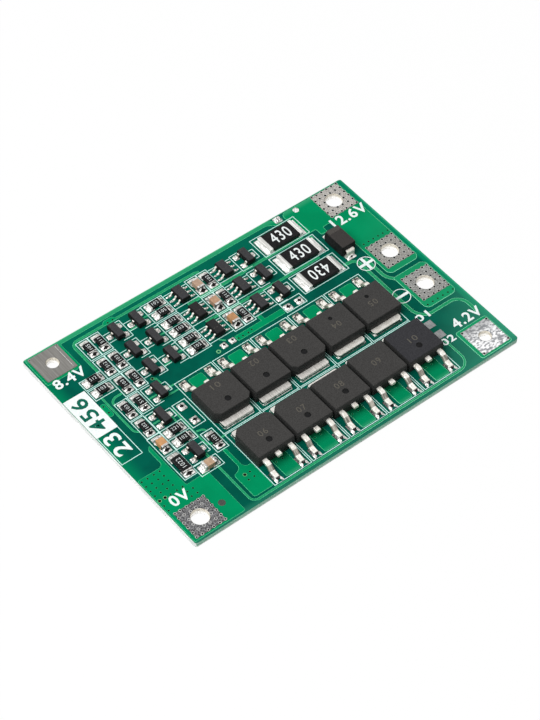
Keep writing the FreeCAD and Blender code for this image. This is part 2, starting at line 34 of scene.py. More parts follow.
LENS = 117.63
SENSOR = 36.0
camera_data = bpy.data.cameras.new("camera")
camera_data.lens = LENS
camera_data.sensor_width = SENSOR
camera_data.clip_start = 0.01
camera_data.clip_end = 20.0
camera = bpy.data.objects.new("camera", camera_data)
bpy.context.scene.collection.objects.link(camera)
camera.matrix_world = Matrix((
    (0.77425577, 0.46993948, -0.42389254, -0.145712),
    (-0.63189695, 0.611218, -0.47656983, -0.163390),
    (0.03513178, 0.63684334, 0.77019239, 0.262950),
    (0.0, 0.0, 0.0, 1.0),
))
bpy.context.scene.camera = camera

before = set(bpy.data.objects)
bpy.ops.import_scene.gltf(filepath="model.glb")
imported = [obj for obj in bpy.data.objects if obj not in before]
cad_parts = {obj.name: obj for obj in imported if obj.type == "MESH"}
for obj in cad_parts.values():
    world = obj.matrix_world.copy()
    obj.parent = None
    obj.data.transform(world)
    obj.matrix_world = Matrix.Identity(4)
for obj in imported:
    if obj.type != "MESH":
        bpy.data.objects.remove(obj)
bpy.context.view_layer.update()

MM = 0.001
HERE = Matrix.Identity(4)
random.seed(7)


def corners(node):
    """The box of a CAD node in millimetres: left, front, low, right, rear, high."""
    low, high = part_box(node)
    return [value / MM for value in (*low, *high)]


BOARD = corners("circuit_board")
BOARD_TOP = BOARD[5]
FLOOR = corners("mosfet_body_1")[2]
LAND = FLOOR - BOARD_TOP
MASK_LOW = 0.02
COPPER = BOARD_TOP + 0.022
SILK = BOARD_TOP + 0.04
SUNK = -0.03


# Stage, light and world

def srgb(colour):
    """The linear form of a colour written in 0 to 255."""
    parts = [part / 255 for part in colour]
    return (*[part / 12.92 if part < 0.04 else ((part + 0.055) / 1.055) ** 2.4 for part in parts], 1.0)


def feed(tree, node, sources):
    """Gives inputs of a shader node their values, or links them to outputs of other nodes."""
    for key, source in sources.items():
        if isinstance(source, bpy.types.NodeSocket):
            tree.links.new(source, node.inputs[key])
        else:
            node.inputs[key].default_value = source


def add_node(tree, kind, sources):
    node = tree.nodes.new("ShaderNode" + kind)
    feed(tree, node, sources)
    return node


def set_ramp(ramp, *stops):
    for element, (position, colour) in zip(ramp.color_ramp.elements, stops):
        element.position, element.color = position, colour


def backdrop_share(tree):
    """One for rays that look at the background, through glass or in a reflection too."""
    rays = add_node(tree, "LightPath", {}).outputs
    total = rays["Is Camera Ray"]
    for output in ("Is Transmission Ray", "Is Glossy Ray"):
        both = add_node(tree, "Math", {0: total, 1: rays[output]})
        both.operation = "MAXIMUM"
        total = both.outputs[0]
    return total


def show_backdrop(tree, share, lit, plain, output):
    """The lit surface, with the plain one in its place for the rays that look at the background."""
    mix = add_node(tree, "MixShader", {"Fac": share, 1: lit.outputs[0], 2: plain.outputs[0]})
    feed(tree, tree.nodes[output], {"Surface": mix.outputs[0]})


def show(name, data):
    thing = bpy.data.objects.new(name, data)
    bpy.context.scene.collection.objects.link(thing)
    return thing


def make_floor():
    half = 2.0
    mesh = bpy.data.meshes.new("floor")
    mesh.from_pydata([(-half, -half, 0), (half, -half, 0), (half, half, 0), (-half, half, 0)], [], [(0, 1, 2, 3)])
    floor = show("floor", mesh)
    material = bpy.data.materials.new("floor")
    material.use_nodes = True
    tree = material.node_tree
    shader = tree.nodes["Principled BSDF"]
    feed(tree, shader, {"Base Color": (0.9, 0.9, 0.9, 1), "Roughness": 0.9})
    share = add_node(tree, "Math", {0: backdrop_share(tree), 1: 0.96})
    share.operation = "MULTIPLY"
    show_backdrop(tree, share.outputs[0], shader, add_node(tree, "Emission", {"Strength": 1.0}), "Material Output")
    floor.data.materials.append(material)


def make_world():
    """White behind everything, and a soft room that is darker near the horizon for what it lights."""
    world = bpy.data.worlds.new("studio")
    bpy.context.scene.world = world
    world.use_nodes = True
    tree = world.node_tree
    where = add_node(tree, "TexCoord", {})
    split = add_node(tree, "SeparateXYZ", {0: where.outputs["Generated"]})
    ramp = add_node(tree, "ValToRGB", {0: split.outputs["Z"]})
    set_ramp(ramp, (0.0, (0.16, 0.165, 0.17, 1)), (0.75, (0.54, 0.54, 0.54, 1)))
    room = tree.nodes["Background"]
    feed(tree, room, {"Color": ramp.outputs[0]})
    white = add_node(tree, "Background", {"Color": (1, 1, 1, 1)})
    show_backdrop(tree, backdrop_share(tree), room, white, "World Output")


def make_lamp():
    """One soft square lamp, above the board and to its left."""
    data = bpy.data.lights.new("key", "AREA")
    data.size = 0.36
    data.energy = 3.1
    lamp = show("key", data)
    lamp.location = (-0.33, 0.02, 0.51)
    lamp.rotation_mode = "QUATERNION"
    lamp.rotation_quaternion = (-lamp.location).to_track_quat("-Z", "Y")


make_floor()
make_world()
make_lamp()


# Surfaces

def look(name, dark, light, grain, rough, metal=0.0, bump=0.0, stretch=(1, 1, 1), spread=0.12, shine=0.1):
    """A surface that wanders between two colours, with grain of one size in millimetres and fine relief."""
    material = bpy.data.materials.new(name)
    material.use_nodes = True
    tree = material.node_tree
    where = add_node(tree, "TexCoord", {})
    mapping = add_node(tree, "Mapping", {"Vector": where.outputs["Object"], "Scale": stretch})
    noise = add_node(tree, "TexNoise", {"Vector": mapping.outputs[0], "Scale": 1 / (grain * MM), "Detail": 3.0})
    ramp = add_node(tree, "ValToRGB", {0: noise.outputs["Fac"]})
    set_ramp(ramp, (0.5 - spread, srgb(dark)), (0.5 + spread, srgb(light)))
    shader = tree.nodes["Principled BSDF"]
    feed(tree, shader, {"Base Color": ramp.outputs[0], "Roughness": rough, "Metallic": metal,
                        "Specular IOR Level": shine})
    if bump:
        height = {"Height": noise.outputs["Fac"], "Distance": grain * MM, "Strength": bump}
        feed(tree, shader, {"Normal": add_node(tree, "Bump", height).outputs[0]})
    return material


AXES = {"X": (1, 0, 0), "Y": (0, 1, 0), "Z": (0, 0, 1), "FRONT_RIGHT": (0.707, -0.707, 0)}


def fade(material, axis, start, end, colour, share=1.0):
    """Blends the surface towards one colour between two places along an axis, in millimetres."""
    tree = material.node_tree
    shader = tree.nodes["Principled BSDF"]
    current = shader.inputs["Base Color"].links[0].from_socket
    where = add_node(tree, "TexCoord", {})
    along = add_node(tree, "VectorMath", {0: where.outputs["Object"], 1: AXES[axis]})
    along.operation = "DOT_PRODUCT"
    span = add_node(tree, "MapRange", {"Value": along.outputs["Value"], "From Min": start * MM,
                                       "From Max": end * MM, "To Max": share})
    span.interpolation_type = "SMOOTHSTEP"
    mix = tree.nodes.new("ShaderNodeMix")
    mix.data_type = "RGBA"
    factor, first, second, result = 0, 6, 7, 2
    feed(tree, mix, {factor: span.outputs["Result"], first: current, second: srgb(colour)})
    feed(tree, shader, {"Base Color": mix.outputs[result]})


MASK = look("solder_mask", (0, 80, 66), (0, 90, 73), 3.0, 0.32, bump=0.02, shine=0.02)
# Painted sheen and painted edge highlight: the mask is made lighter towards the left, right, front and rear edges,
# across its rear part and towards the front right corner.
fade(MASK, "X", -27.5, -30.5, (0, 124, 84))
fade(MASK, "X", 28.6, 29.3, (0, 128, 90))
fade(MASK, "X", 29.5, 29.95, (44, 160, 120))
fade(MASK, "Y", 12.0, 21.0, (0, 112, 86), 0.5)
fade(MASK, "FRONT_RIGHT", 20.5, 34.0, (58, 144, 116), 0.65)
fade(MASK, "Y", -19.1, -20.2, (38, 120, 97), 0.6)
fade(MASK, "Y", 20.0, 20.25, (96, 178, 140))
ZONE = look("mask_over_copper", (0, 134, 86), (0, 142, 92), 4.0, 0.34, bump=0.02, shine=0.02)
# Painted edge highlight and painted sheen: the mask over copper is made lighter towards the rear edge and towards the
# front right.
fade(ZONE, "Y", 19.0, 19.9, (44, 152, 106))
fade(ZONE, "FRONT_RIGHT", 8.0, 20.0, (50, 158, 112), 0.3)
LEAD_ZONE = look("mask_over_lead_copper_painted_shadow", (0, 128, 83), (0, 136, 88), 4.0, 0.34, bump=0.02, shine=0.02)
# Painted shadow of the transistor bodies: the front lead areas darken towards the bodies, and painted sheen makes them
# lighter towards the front edge.
fade(LEAD_ZONE, "Y", -17.8, -15.5, (4, 74, 46))
fade(LEAD_ZONE, "Y", -18.2, -19.0, (40, 144, 102))
# Painted highlight: the pale line on the bevelled edges of copper areas, traces and pours, brighter still towards the
# front right as painted sheen.
ZONE_EDGE = look("copper_edge_painted_highlight", (66, 186, 130), (92, 204, 148), 0.5, 0.5, shine=0.02)
fade(ZONE_EDGE, "FRONT_RIGHT", 8.0, 15.0, (146, 230, 188), 0.65)
TRACE = look("mask_over_trace", (28, 142, 94), (44, 152, 102), 0.3, 0.38, shine=0.02)
# The front and rear edges are given a darker, greener colour than the near-white left and right edges. The front and
# rear edges grow lighter towards the bottom, and all edges greener towards the top.
SIDE_Y = look("front_and_rear_edge", (126, 170, 150), (148, 188, 168), 0.5, 0.7, bump=0.4, stretch=(0.12, 1, 1))
fade(SIDE_Y, "Z", 0.45, 0.05, (206, 212, 206))
fade(SIDE_Y, "Z", 0.86, 0.97, (74, 146, 118))
SIDE_X = look("left_and_right_edge", (206, 210, 208), (236, 238, 236), 0.4, 0.75, bump=0.5, stretch=(1, 0.15, 1), spread=0.2)
fade(SIDE_X, "Z", 0.88, 0.96, (120, 168, 146))
WHITE = look("white_print", (228, 236, 234), (242, 247, 246), 0.3, 0.6)
LINE = look("print_line", (190, 236, 228), (216, 250, 243), 0.2, 0.6)
KNOCKOUT = look("print_gap", (0, 92, 74), (0, 100, 80), 1.0, 0.35)
VIA = look("via_ring", (8, 138, 90), (50, 164, 108), 0.2, 0.5, shine=0.02)
VIA_BIG = look("open_via_ring", (84, 172, 112), (136, 194, 144), 0.15, 0.5, shine=0.02)
TIN_RING = look("tinned_ring", (150, 150, 148), (226, 226, 222), 0.12, 0.3, 0.7)
# Painted shade: a dark disc stands for the shade inside a small hole that is not cut through.
HOLE = look("drilled_dark", (8, 12, 10), (18, 24, 20), 0.2, 0.8)
BARREL = look("hole_wall", (200, 193, 178), (236, 231, 219), 0.4, 0.45, 0.3, bump=0.2)
# Painted light: the hole wall turns near white towards its bottom.
fade(BARREL, "Z", 0.85, 0.3, (255, 254, 251))
TIN = look("tinned_land", (158, 160, 158), (250, 250, 247), 0.3, 0.3, 0.5, bump=0.4)
SOLDER = look("solder", (176, 174, 170), (255, 254, 250), 0.3, 0.3, 0.55, bump=0.5)
SOLDER_WARM = look("solder_warm", (92, 90, 80), (230, 227, 215), 0.34, 0.32, 0.5, bump=0.6, spread=0.1)
SOLDER_PALE = look("solder_pale", (206, 205, 202), (255, 255, 252), 0.4, 0.3, 0.45, bump=0.3, stretch=(1.5, 0.3, 1))
# Painted dark reflection and painted shadow in solder: the dark stars of solder pillows and fillets, and the dark
# hollow in front of the lower transistors' leads.
SOLDER_PAINTED_SHADOW_AND_REFLECTION = look("solder_painted_shadow_and_reflection", (8, 8, 9), (40, 39, 38), 0.25, 0.3, 0.4, bump=0.3)
# Mostly painted shade and painted dark reflection: the shaded chip ends, the lands and lumps under the lower
# transistors' leads, and the grey stars in fillets. It is also used for the thin land rims in front of tabs 4 and 5.
SOLDER_GREY = look("solder_grey", (60, 60, 60), (130, 128, 126), 0.25, 0.3, 0.5, bump=0.3)
END = look("chip_end", (150, 148, 144), (244, 242, 238), 0.25, 0.35, 0.6, bump=0.3)
END_WIDE = look("wide_chip_end", (206, 204, 200), (252, 251, 248), 0.5, 0.4, 0.4, bump=0.15, stretch=(1.6, 0.15, 1))
METAL = look("lead_metal", (226, 221, 210), (252, 249, 243), 0.4, 0.35, 0.5, bump=0.15)
# Painted shade: a darker copy of the lead metal for the steep parts of bent leads.
METAL_STEEP_PAINTED_SHADE = look("lead_metal_steep_painted_shade", (120, 116, 108), (196, 190, 178), 0.25, 0.4, 0.5, 0.25, (1, 0.15, 0.15))
TAB = look("tab_metal", (194, 190, 184), (248, 245, 239), 0.13, 0.45, 0.3, 0.25, (1, 0.06, 0.3), 0.22)
# The smoother tabs of transistors 4 and 5, painted brighter as a highlight.
TAB_SMOOTH_PAINTED_HIGHLIGHT = look("tab_metal_smooth_painted_highlight", (232, 228, 219), (248, 245, 238), 0.6, 0.4, 0.35, bump=0.03)
TAB_SIDE = look("tab_side", (196, 196, 190), (226, 226, 220), 0.2, 0.14, 1.0, bump=0.1)
CERAMIC = look("ceramic", (168, 170, 166), (196, 198, 194), 0.2, 0.5, bump=0.1)
GLAZE = look("resistor_glaze", (18, 18, 19), (30, 30, 31), 0.3, 0.35, bump=0.06)
MOULD = look("moulded_plastic", (54, 53, 52), (66, 65, 64), 0.14, 0.62, bump=0.3, spread=0.08)
MOULD_BLUE = look("moulded_plastic_blue", (45, 45, 48), (56, 56, 59), 0.14, 0.6, bump=0.3, spread=0.08)
# Painted shade: a darker copy of the moulded plastic for the sides of the power transistors and the walls of their
# dimples.
MOULD_SIDE_PAINTED_SHADE = look("moulded_side_painted_shade", (38, 38, 38), (52, 52, 51), 0.14, 0.5, bump=0.25, spread=0.08)
CHIP = look("package_plastic", (50, 50, 52), (64, 64, 66), 0.1, 0.55, bump=0.3)
CHIP_BLACK = look("package_black", (34, 33, 34), (44, 43, 44), 0.1, 0.5, bump=0.2)
# Painted shade: a near-black copy of the package plastic for the sides of the small packages and the diode, and for
# the floors of the transistors' dimples.
CHIP_SIDE_PAINTED_SHADE = look("package_side_painted_shade", (16, 16, 17), (28, 28, 29), 0.12, 0.5, bump=0.2)
DIODE_MOULD = look("diode_plastic", (50, 47, 46), (62, 59, 57), 0.12, 0.55, bump=0.3)
BAND = look("diode_band", (62, 60, 58), (84, 80, 76), 0.12, 0.6, bump=0.2)
MARK = look("faint_mark", (84, 81, 74), (98, 94, 86), 0.08, 0.6)


# Shapes, in millimetres until they become a piece

def soft_corner(last, here, following, size, steps):
    """The points of a curve that cuts a corner at a set distance from it."""
    start, end = here + (last - here).normalized() * size, here + (following - here).normalized() * size
    shares = [step / steps for step in range(steps + 1)]
    return [tuple(start.lerp(here, share).lerp(here.lerp(end, share), share)) for share in shares]


def rounded(points, radius, steps=4):
    """A closed outline with its corners rounded. A radius may be given for each corner."""
    result = []
    for index, point in enumerate(points):
        here, last, following = Vector(point), Vector(points[index - 1]), Vector(points[(index + 1) % len(points)])
        size = radius[index] if isinstance(radius, (list, tuple)) else radius
        size = min(size, (last - here).length * 0.48, (following - here).length * 0.48)
        result += [tuple(here)] if size < 1e-4 else soft_corner(last, here, following, size, steps)
    return result


def rectangle(left, right, front, rear):
    return [(left, front), (right, front), (right, rear), (left, rear)]


def oblong(width, depth, radius=0.0, centre=(0.0, 0.0), steps=3):
    """A rectangle about a centre, with rounded corners, counter-clockwise."""
    points = rectangle(-width / 2, width / 2, -depth / 2, depth / 2)
    points = rounded(points, radius, steps) if radius else points
    return [(x + centre[0], y + centre[1]) for x, y in points]


def bounds_outline(left, right, front, rear, radius=0.0, steps=3):
    return oblong(right - left, rear - front, radius, ((left + right) / 2, (front + rear) / 2), steps)


def disc(radius, centre=(0.0, 0.0), count=24):
    turn = 2 * math.pi / count
    return [
        (centre[0] + radius * math.cos(turn * step), centre[1] + radius * math.sin(turn * step))
        for step in range(count)
    ]


def inset(points, distance):
    """The outline moved inwards by a distance, for a counter-clockwise outline."""
    result = []
    for index, point in enumerate(points):
        here = Vector(point)
        arriving = (here - Vector(points[index - 1])).normalized()
        leaving = (Vector(points[(index + 1) % len(points)]) - here).normalized()
        inwards = Vector((-leaving.y, leaving.x))
        across = inwards + Vector((-arriving.y, arriving.x))
        across = across.normalized() if across.length > 1e-6 else inwards
        slant = max(0.35, across.dot(inwards))
        result.append(tuple(here + across * (distance / slant)))
    return result


def bend_path(points, radius, steps=5):
    """An open line with its inner corners rounded."""
    result = [tuple(points[0])]
    for last, here, following in zip(points, points[1:], points[2:]):
        last, here, following = Vector(last), Vector(here), Vector(following)
        size = min(radius, (last - here).length * 0.49, (following - here).length * 0.49)
        result += soft_corner(last, here, following, size, steps)
    return result + [tuple(points[-1])]


def headings(path):
    """The way on at each point of an open line."""
    last = len(path) - 1
    return [(Vector(path[min(i + 1, last)]) - Vector(path[max(i - 1, 0)])).normalized() for i in range(last + 1)]


def band(points, width):
    """The outline of a stroke of one width along an open line, counter-clockwise."""
    left, right = [], []
    for point, along in zip(points, headings(points)):
        side = Vector((-along.y, along.x)) * width / 2
        left.append(tuple(Vector(point) + side))
        right.append(tuple(Vector(point) - side))
    return right + left[::-1]


def power(value, exponent):
    """The power of a number that keeps its sign."""
    return math.copysign(abs(value) ** exponent, value)


class Shape:
    """Faces gathered for one piece."""

    def __init__(self):
        self.points, self.faces, self.looks = [], [], []

    def add(self, points, faces, finish=0, place=HERE):
        """Adds faces. The finish is one number, or a list with one for each face."""
        start = len(self.points)
        self.points += [tuple(place @ Vector(point)) for point in points]
        self.faces += [[start + index for index in face] for face in faces]
        self.looks += finish if isinstance(finish, list) else [finish] * len(faces)

    def loft(self, rings, finish=0, place=HERE, bottom=True, top=True, top_finish=None, bands=None):
        """Skin over rings of equal count, closed at both ends. Each band between two rings may have its finish."""
        count = len(rings[0])
        faces, looks = [], []
        for level in range(len(rings) - 1):
            faces += hoop(count, level * count)
            looks += [bands[level] if bands else finish] * count
        if bottom:
            faces.append(list(range(count))[::-1])
            looks.append(finish)
        if top:
            faces.append([(len(rings) - 1) * count + index for index in range(count)])
            looks.append(finish if top_finish is None else top_finish)
        self.add([point for ring in rings for point in ring], faces, looks, place)

    def stack(self, outline, levels, finish=0, place=HERE, bottom=True, top=True, top_finish=None, bands=None,
              radius=0.0):
        """A block whose outline is drawn in by a set amount at each height: (height, inset).
        The outline has sharp corners, and the radius rounds them."""
        rings = []
        for height, amount in levels:
            ring = inset(outline, amount) if amount else outline
            if radius:
                sizes = radius if isinstance(radius, list) else [radius] * len(ring)
                ring = rounded(ring, [max(size - amount * 0.6, 0.02) for size in sizes], 3)
            rings.append([(x, y, height) for x, y in ring])
        self.loft(rings, finish, place, bottom, top, top_finish, bands)

    def sheet(self, loops, height, side, finish, place):
        """Flat faces between an outline and its holes, seen from above or from below."""
        points = [point for loop in loops for point in loop]
        faces = tessellate_polygon([[Vector((x, y, 0)) for x, y in loop] for loop in loops])
        faces = [facing(points, list(face), side) for face in faces]
        self.add([(x, y, height) for x, y in points], faces, finish, place)

    def plate(self, loops, low, high, bevel=0.0, finish=0, edge=None, place=HERE, under=False):
        """A flat slab with holes: the first loop is the outside, counter-clockwise, the others are clockwise."""
        tops = [inset(loop, bevel) if bevel else loop for loop in loops]
        self.sheet(tops, high, 1, finish, place)
        if under:
            self.sheet(loops, low, -1, finish, place)
        for loop, top in zip(loops, tops):
            points = [(x, y, low) for x, y in loop] + [(x, y, high) for x, y in top]
            self.add(points, hoop(len(loop)), finish if edge is None else edge, place)

    def pillow(self, width, depth, height, place, finish=0, dark=None, star=0.8, fillet=False, rough=0.12,
               sharp=3.2):
        """A soft lump of solder over a rectangle, or a fillet that falls away from its near edge.
        A four-pointed star of another finish, a painted dark reflection, may lie in its middle."""
        count = 32
        rings = ((0.5, 0.0), (1.0, 0.0), (1.0, 0.3), (1.0, 0.65), (1.0, 1.0))
        ragged = [1 - random.uniform(0, 0.36) if dark is not None else 1 for _ in range(count)]
        points, faces, looks = [], [], []
        for share, outwards in rings:
            for index in range(count):
                turn, reach = 2 * math.pi * index / count, star * ragged[index]
                tip_u, tip_v = power(math.cos(turn), sharp) * reach, power(math.sin(turn), sharp) * reach
                u = tip_u * share + (power(math.cos(turn), 0.3) - tip_u) * outwards
                v = tip_v * share + (power(math.sin(turn), 0.3) - tip_v) * outwards
                level = (1 - u ** 4) * (1 - v ** 4)
                if fillet:
                    level = max(0.0, 1 - (v + 1) / 2) ** 1.5 * (1 - u ** 4) + 0.06 * level
                if outwards < 1.0:
                    level = max(level * (1 + rough * random.uniform(-1, 1)), 0.05)
                points.append((u * width / 2, v * depth / 2, height * level))
        points.append((0, 0, height * (0.36 if fillet else 1.0)))
        for index in range(count):
            faces.append([len(points) - 1, index, (index + 1) % count])
            looks.append(finish if dark is None else dark)
        for ring in range(len(rings) - 1):
            for a, b, c, d in hoop(count, ring * count):
                faces.append([a, d, c, b])
                looks.append(dark if dark is not None and ring == 0 else finish)
        self.add(points, faces, looks, place)

    def foot(self, width, depth, height, place, pale, dark, under):
        """Solder in front of a lead tip: two pale horns beside a dark hollow of painted shadow and reflection, with
        the mask showing between them.
        """
        rows = [(-1.0, 0.72, 0.52, 1.0), (-0.35, 0.95, 0.52, 0.55), (0.3, 1.0, 0.3, 0.26), (0.72, 1.0, 0.52, 0.12),
                (1.0, 0.98, 0.84, 0.0)]
        points, faces, looks = [], [], []
        for v, outer, inner, level in rows:
            for u, rise in ((-outer, 0.0), (-inner, level), (inner, level), (outer, 0.0)):
                points.append((u * width / 2, v * depth / 2, height * (rise + random.uniform(0.0, 0.04))))
        for row in range(len(rows) - 1):
            base = row * 4
            for column in range(3):
                faces.append([base + column, base + column + 1, base + column + 5, base + column + 4])
                looks.append((dark if row < 2 else under) if column == 1 else pale)
        faces.append([0, 1, 2, 3])
        looks.append(pale)
        self.add(points, [face[::-1] for face in faces], looks, place)

    def strap(self, path, width, metal, finish=0, place=HERE, tip=0.12, steep=None):
        """A flat lead bent along a line in its side view: the line gives the way out and the height.
        Its steep part may have a finish of its own, a darker copy painted as shade."""
        rings, bands = [], []
        half, thick = width / 2, metal / 2
        cut = min(thick * 0.35, half * 0.35)
        outline = [(-half, -thick + cut), (-half + cut, -thick), (half - cut, -thick), (half, -thick + cut)]
        outline += [(-across, -rise) for across, rise in outline]
        for index, (point, along) in enumerate(zip(path, headings(path))):
            here, up = Vector(point), Vector((-along.y, along.x))
            shrink = 1 - tip if index in (0, len(path) - 1) else 1
            rings.append([
                (across * shrink, here.x + up.x * rise * shrink, here.y + up.y * rise * shrink)
                for across, rise in outline
            ][::-1])
            if index:
                step = here - Vector(path[index - 1])
                bands.append(steep if steep is not None and abs(step.y) > 0.5 * step.length else finish)
        self.loft(rings, finish, place, bands=bands)

    def letters(self, text, left, right, front, rear, low, high, turn, weight, finish=0, place=HERE):
        """Words that fill a box, turned by quarter turns."""
        curve = bpy.data.curves.new("letters", "FONT")
        curve.body = text
        curve.offset = weight
        curve.space_character = 1.12
        curve.extrude = 0.5
        curve.resolution_u = 3
        thing = show("letters", curve)
        graph = bpy.context.evaluated_depsgraph_get()
        mesh = bpy.data.meshes.new_from_object(thing.evaluated_get(graph))
        points = [tuple(vertex.co) for vertex in mesh.vertices]
        faces = [list(polygon.vertices) for polygon in mesh.polygons]
        bpy.data.objects.remove(thing)
        bpy.data.curves.remove(curve)
        bpy.data.meshes.remove(mesh)
        for _ in range(turn):
            points = [(-y, x, z) for x, y, z in points]
        columns = []
        for values, (start, end) in zip(zip(*points), ((left, right), (front, rear), (low, high))):
            least, span = min(values), max(values) - min(values)
            columns.append([start + (value - least) / span * (end - start) for value in values])
        self.add(list(zip(*columns)), faces, finish, place)

    def piece(self, name, finishes, nodes=(), slot=None, smooth=None):
        mesh = bpy.data.meshes.new(name)
        mesh.from_pydata([[value * MM for value in point] for point in self.points], [], self.faces)
        for finish in finishes:
            mesh.materials.append(finish)
        mesh.polygons.foreach_set("material_index", self.looks)
        mesh.polygons.foreach_set("use_smooth", [smooth is not None] * len(self.faces))
        mesh.update()
        mesh.validate()
        if smooth is not None:
            mesh.set_sharp_from_angle(angle=math.radians(smooth))
        thing = show(name, mesh)
        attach(thing, "root")
        if nodes:
            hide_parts(*nodes)


def hoop(count, base=0):
    """The faces between a ring of points and the ring that follows it."""
    return [[base + i, base + (i + 1) % count, base + count + (i + 1) % count, base + count + i] for i in range(count)]


def facing(points, face, side):
    """The triangle turned so that it faces up or down."""
    a, b, c = (Vector(points[index][:2]) for index in face)
    area = (b.x - a.x) * (c.y - a.y) - (c.x - a.x) * (b.y - a.y)
    return face if area * side > 0 else face[::-1]


def placed(x, y, z, turn=0.0):
    return Matrix.Translation((x, y, z)) @ Matrix.Rotation(math.radians(turn), 4, "Z")


def members(node):
    """The boxes in millimetres of the separate solids in a CAD node, as corners gives them."""
    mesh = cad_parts[node].data
    spots = [tuple(round(value / MM, 3) for value in vertex.co) for vertex in mesh.vertices]
    groups = []
    for polygon in mesh.polygons:
        joined = {spots[index] for index in polygon.vertices}
        touching = [group for group in groups if not joined.isdisjoint(group)]
        groups = [group for group in groups if joined.isdisjoint(group)] + [joined.union(*touching)]
    return sorted([pick(values) for pick in (min, max) for values in zip(*group)] for group in groups)


def middle(box):
    return (box[0] + box[3]) / 2, (box[1] + box[4]) / 2


def spans(box):
    """Width, depth and height."""
    return [high - low for low, high in zip(box, box[3:])]


def seat(box, turn=0.0):
    """The place at the middle of a box's underside."""
    return placed(*middle(box), box[2], turn)


# Board

TERMINALS = {
    "terminal_cell_two": 0.93,
    "terminal_cell_three": 1.33,
    "terminal_output_plus": 1.33,
    "terminal_output_minus": 1.33,
    "terminal_cell_one": 0.93,
    "terminal_cell_zero": 1.33,
}
BARREL_WALL = 0.3
BOARD_EDGE = 0.03


def make_board():
    """The laminate with its drilled holes: top and bottom under solder mask, edges bare."""
    shape = Shape()
    outline = bounds_outline(BOARD[0], BOARD[3], BOARD[1], BOARD[4], 0.45, 5)
    drawn = inset(outline, BOARD_EDGE)
    holes = [disc(radius + BARREL_WALL, middle(corners(node)), 32)[::-1] for node, radius in TERMINALS.items()]
    shape.plate([drawn] + holes, MASK_LOW, BOARD_TOP, under=True)
    levels = [(MASK_LOW, drawn), (MASK_LOW + BOARD_EDGE, outline), (BOARD_TOP - BOARD_EDGE, outline),
              (BOARD_TOP, drawn)]
    rings = [[(x, y, height) for x, y in points] for height, points in levels]
    mask, front_and_rear, left_and_right = 0, 1, 2
    for level in range(3):
        ring, above = rings[level:level + 2]
        for a, b, c, d in zip(ring, ring[1:] + ring[:1], above[1:] + above[:1], above):
            side = left_and_right if abs(a[0] - b[0]) < abs(a[1] - b[1]) else front_and_rear
            shape.add([a, b, c, d], [[0, 1, 2, 3]], mask if level == 2 else side)
    shape.piece("board", [MASK, SIDE_Y, SIDE_X], ["circuit_board"], "solder_mask")


ZONES = [
    ([(-29.9, -19.95), (-21.05, -19.95), (-21.05, -11.55), (-24.85, -11.55), (-24.85, -3.0), (-25.45, -3.7),
      (-25.45, -6.6), (-25.95, -7.0), (-29.9, -7.0)], 0.3),
    ([(-29.75, 14.25), (-23.75, 14.25), (-23.75, 19.45), (14.6, 19.45), (15.6, 18.9), (16.3, 18.2), (16.9, 18.2),
      (16.9, 18.9), (15.9, 19.9), (15.2, 20.15), (-29.75, 20.15)], 0.25),
    ([(17.9, 14.35), (20.2, 14.35), (20.2, 13.0), (21.4, 13.0), (21.4, 14.1), (23.1, 14.1), (23.1, 1.2),
      (23.7, 0.6), (28.5, 0.6), (29.1, 1.2), (29.1, 20.0), (18.4, 20.0), (17.9, 19.5)], 0.3),
    ([(23.05, -7.3), (23.6, -7.9), (28.5, -7.9), (29.1, -7.3), (29.1, -0.8), (28.5, -0.2), (23.05, -0.2)], 0.3),
    (rectangle(23.1, 29.1, -20.0, -13.95), 0.5),
    ([(-18.7, -19.0), (-15.35, -19.0), (-15.35, -14.1), (-16.2, -14.1), (-16.6, -13.6), (-16.6, -9.9),
      (-17.2, -9.9), (-17.2, -13.6), (-17.7, -14.1), (-18.7, -14.4)], 0.35),
    ([(-16.9, 18.4), (-14.4, 18.4), (-14.5, 18.9), (-14.9, 19.25), (-16.2, 19.25), (-16.6, 18.95)], 0.2),
    (rectangle(-26.15, -25.3, 4.3, 6.9), 0.4),
    (rectangle(-2.9, 6.0, 4.25, 5.3), 0.2),
    (rectangle(2.15, 2.85, 5.2, 6.2), 0.05),
]
LEAD_ZONES = [(-12.95, -10.3), (-5.95, -3.4), (1.0, 3.6), (8.0, 10.5), (15.0, 17.6)]
LEAD_ZONES_BACK = [(-13.3, -10.8), (-6.1, -3.6), (0.9, 3.3), (8.0, 10.4), (15.0, 17.4)]
SHORT_TRACES = [
    (-4.3, 14.3, -4.3, 14.7), (2.6, 14.3, 2.6, 14.7), (-5.0, 6.2, -4.3, 5.5), (-14.4, 7.2, -13.0, 7.2),
    (-14.4, 15.5, -13.0, 15.5), (-11.3, 7.9, -10.4, 7.9), (-11.3, 12.1, -10.4, 12.1), (-11.3, 16.2, -10.4, 16.2),
    (-5.9, 11.9, -5.0, 11.9),
]
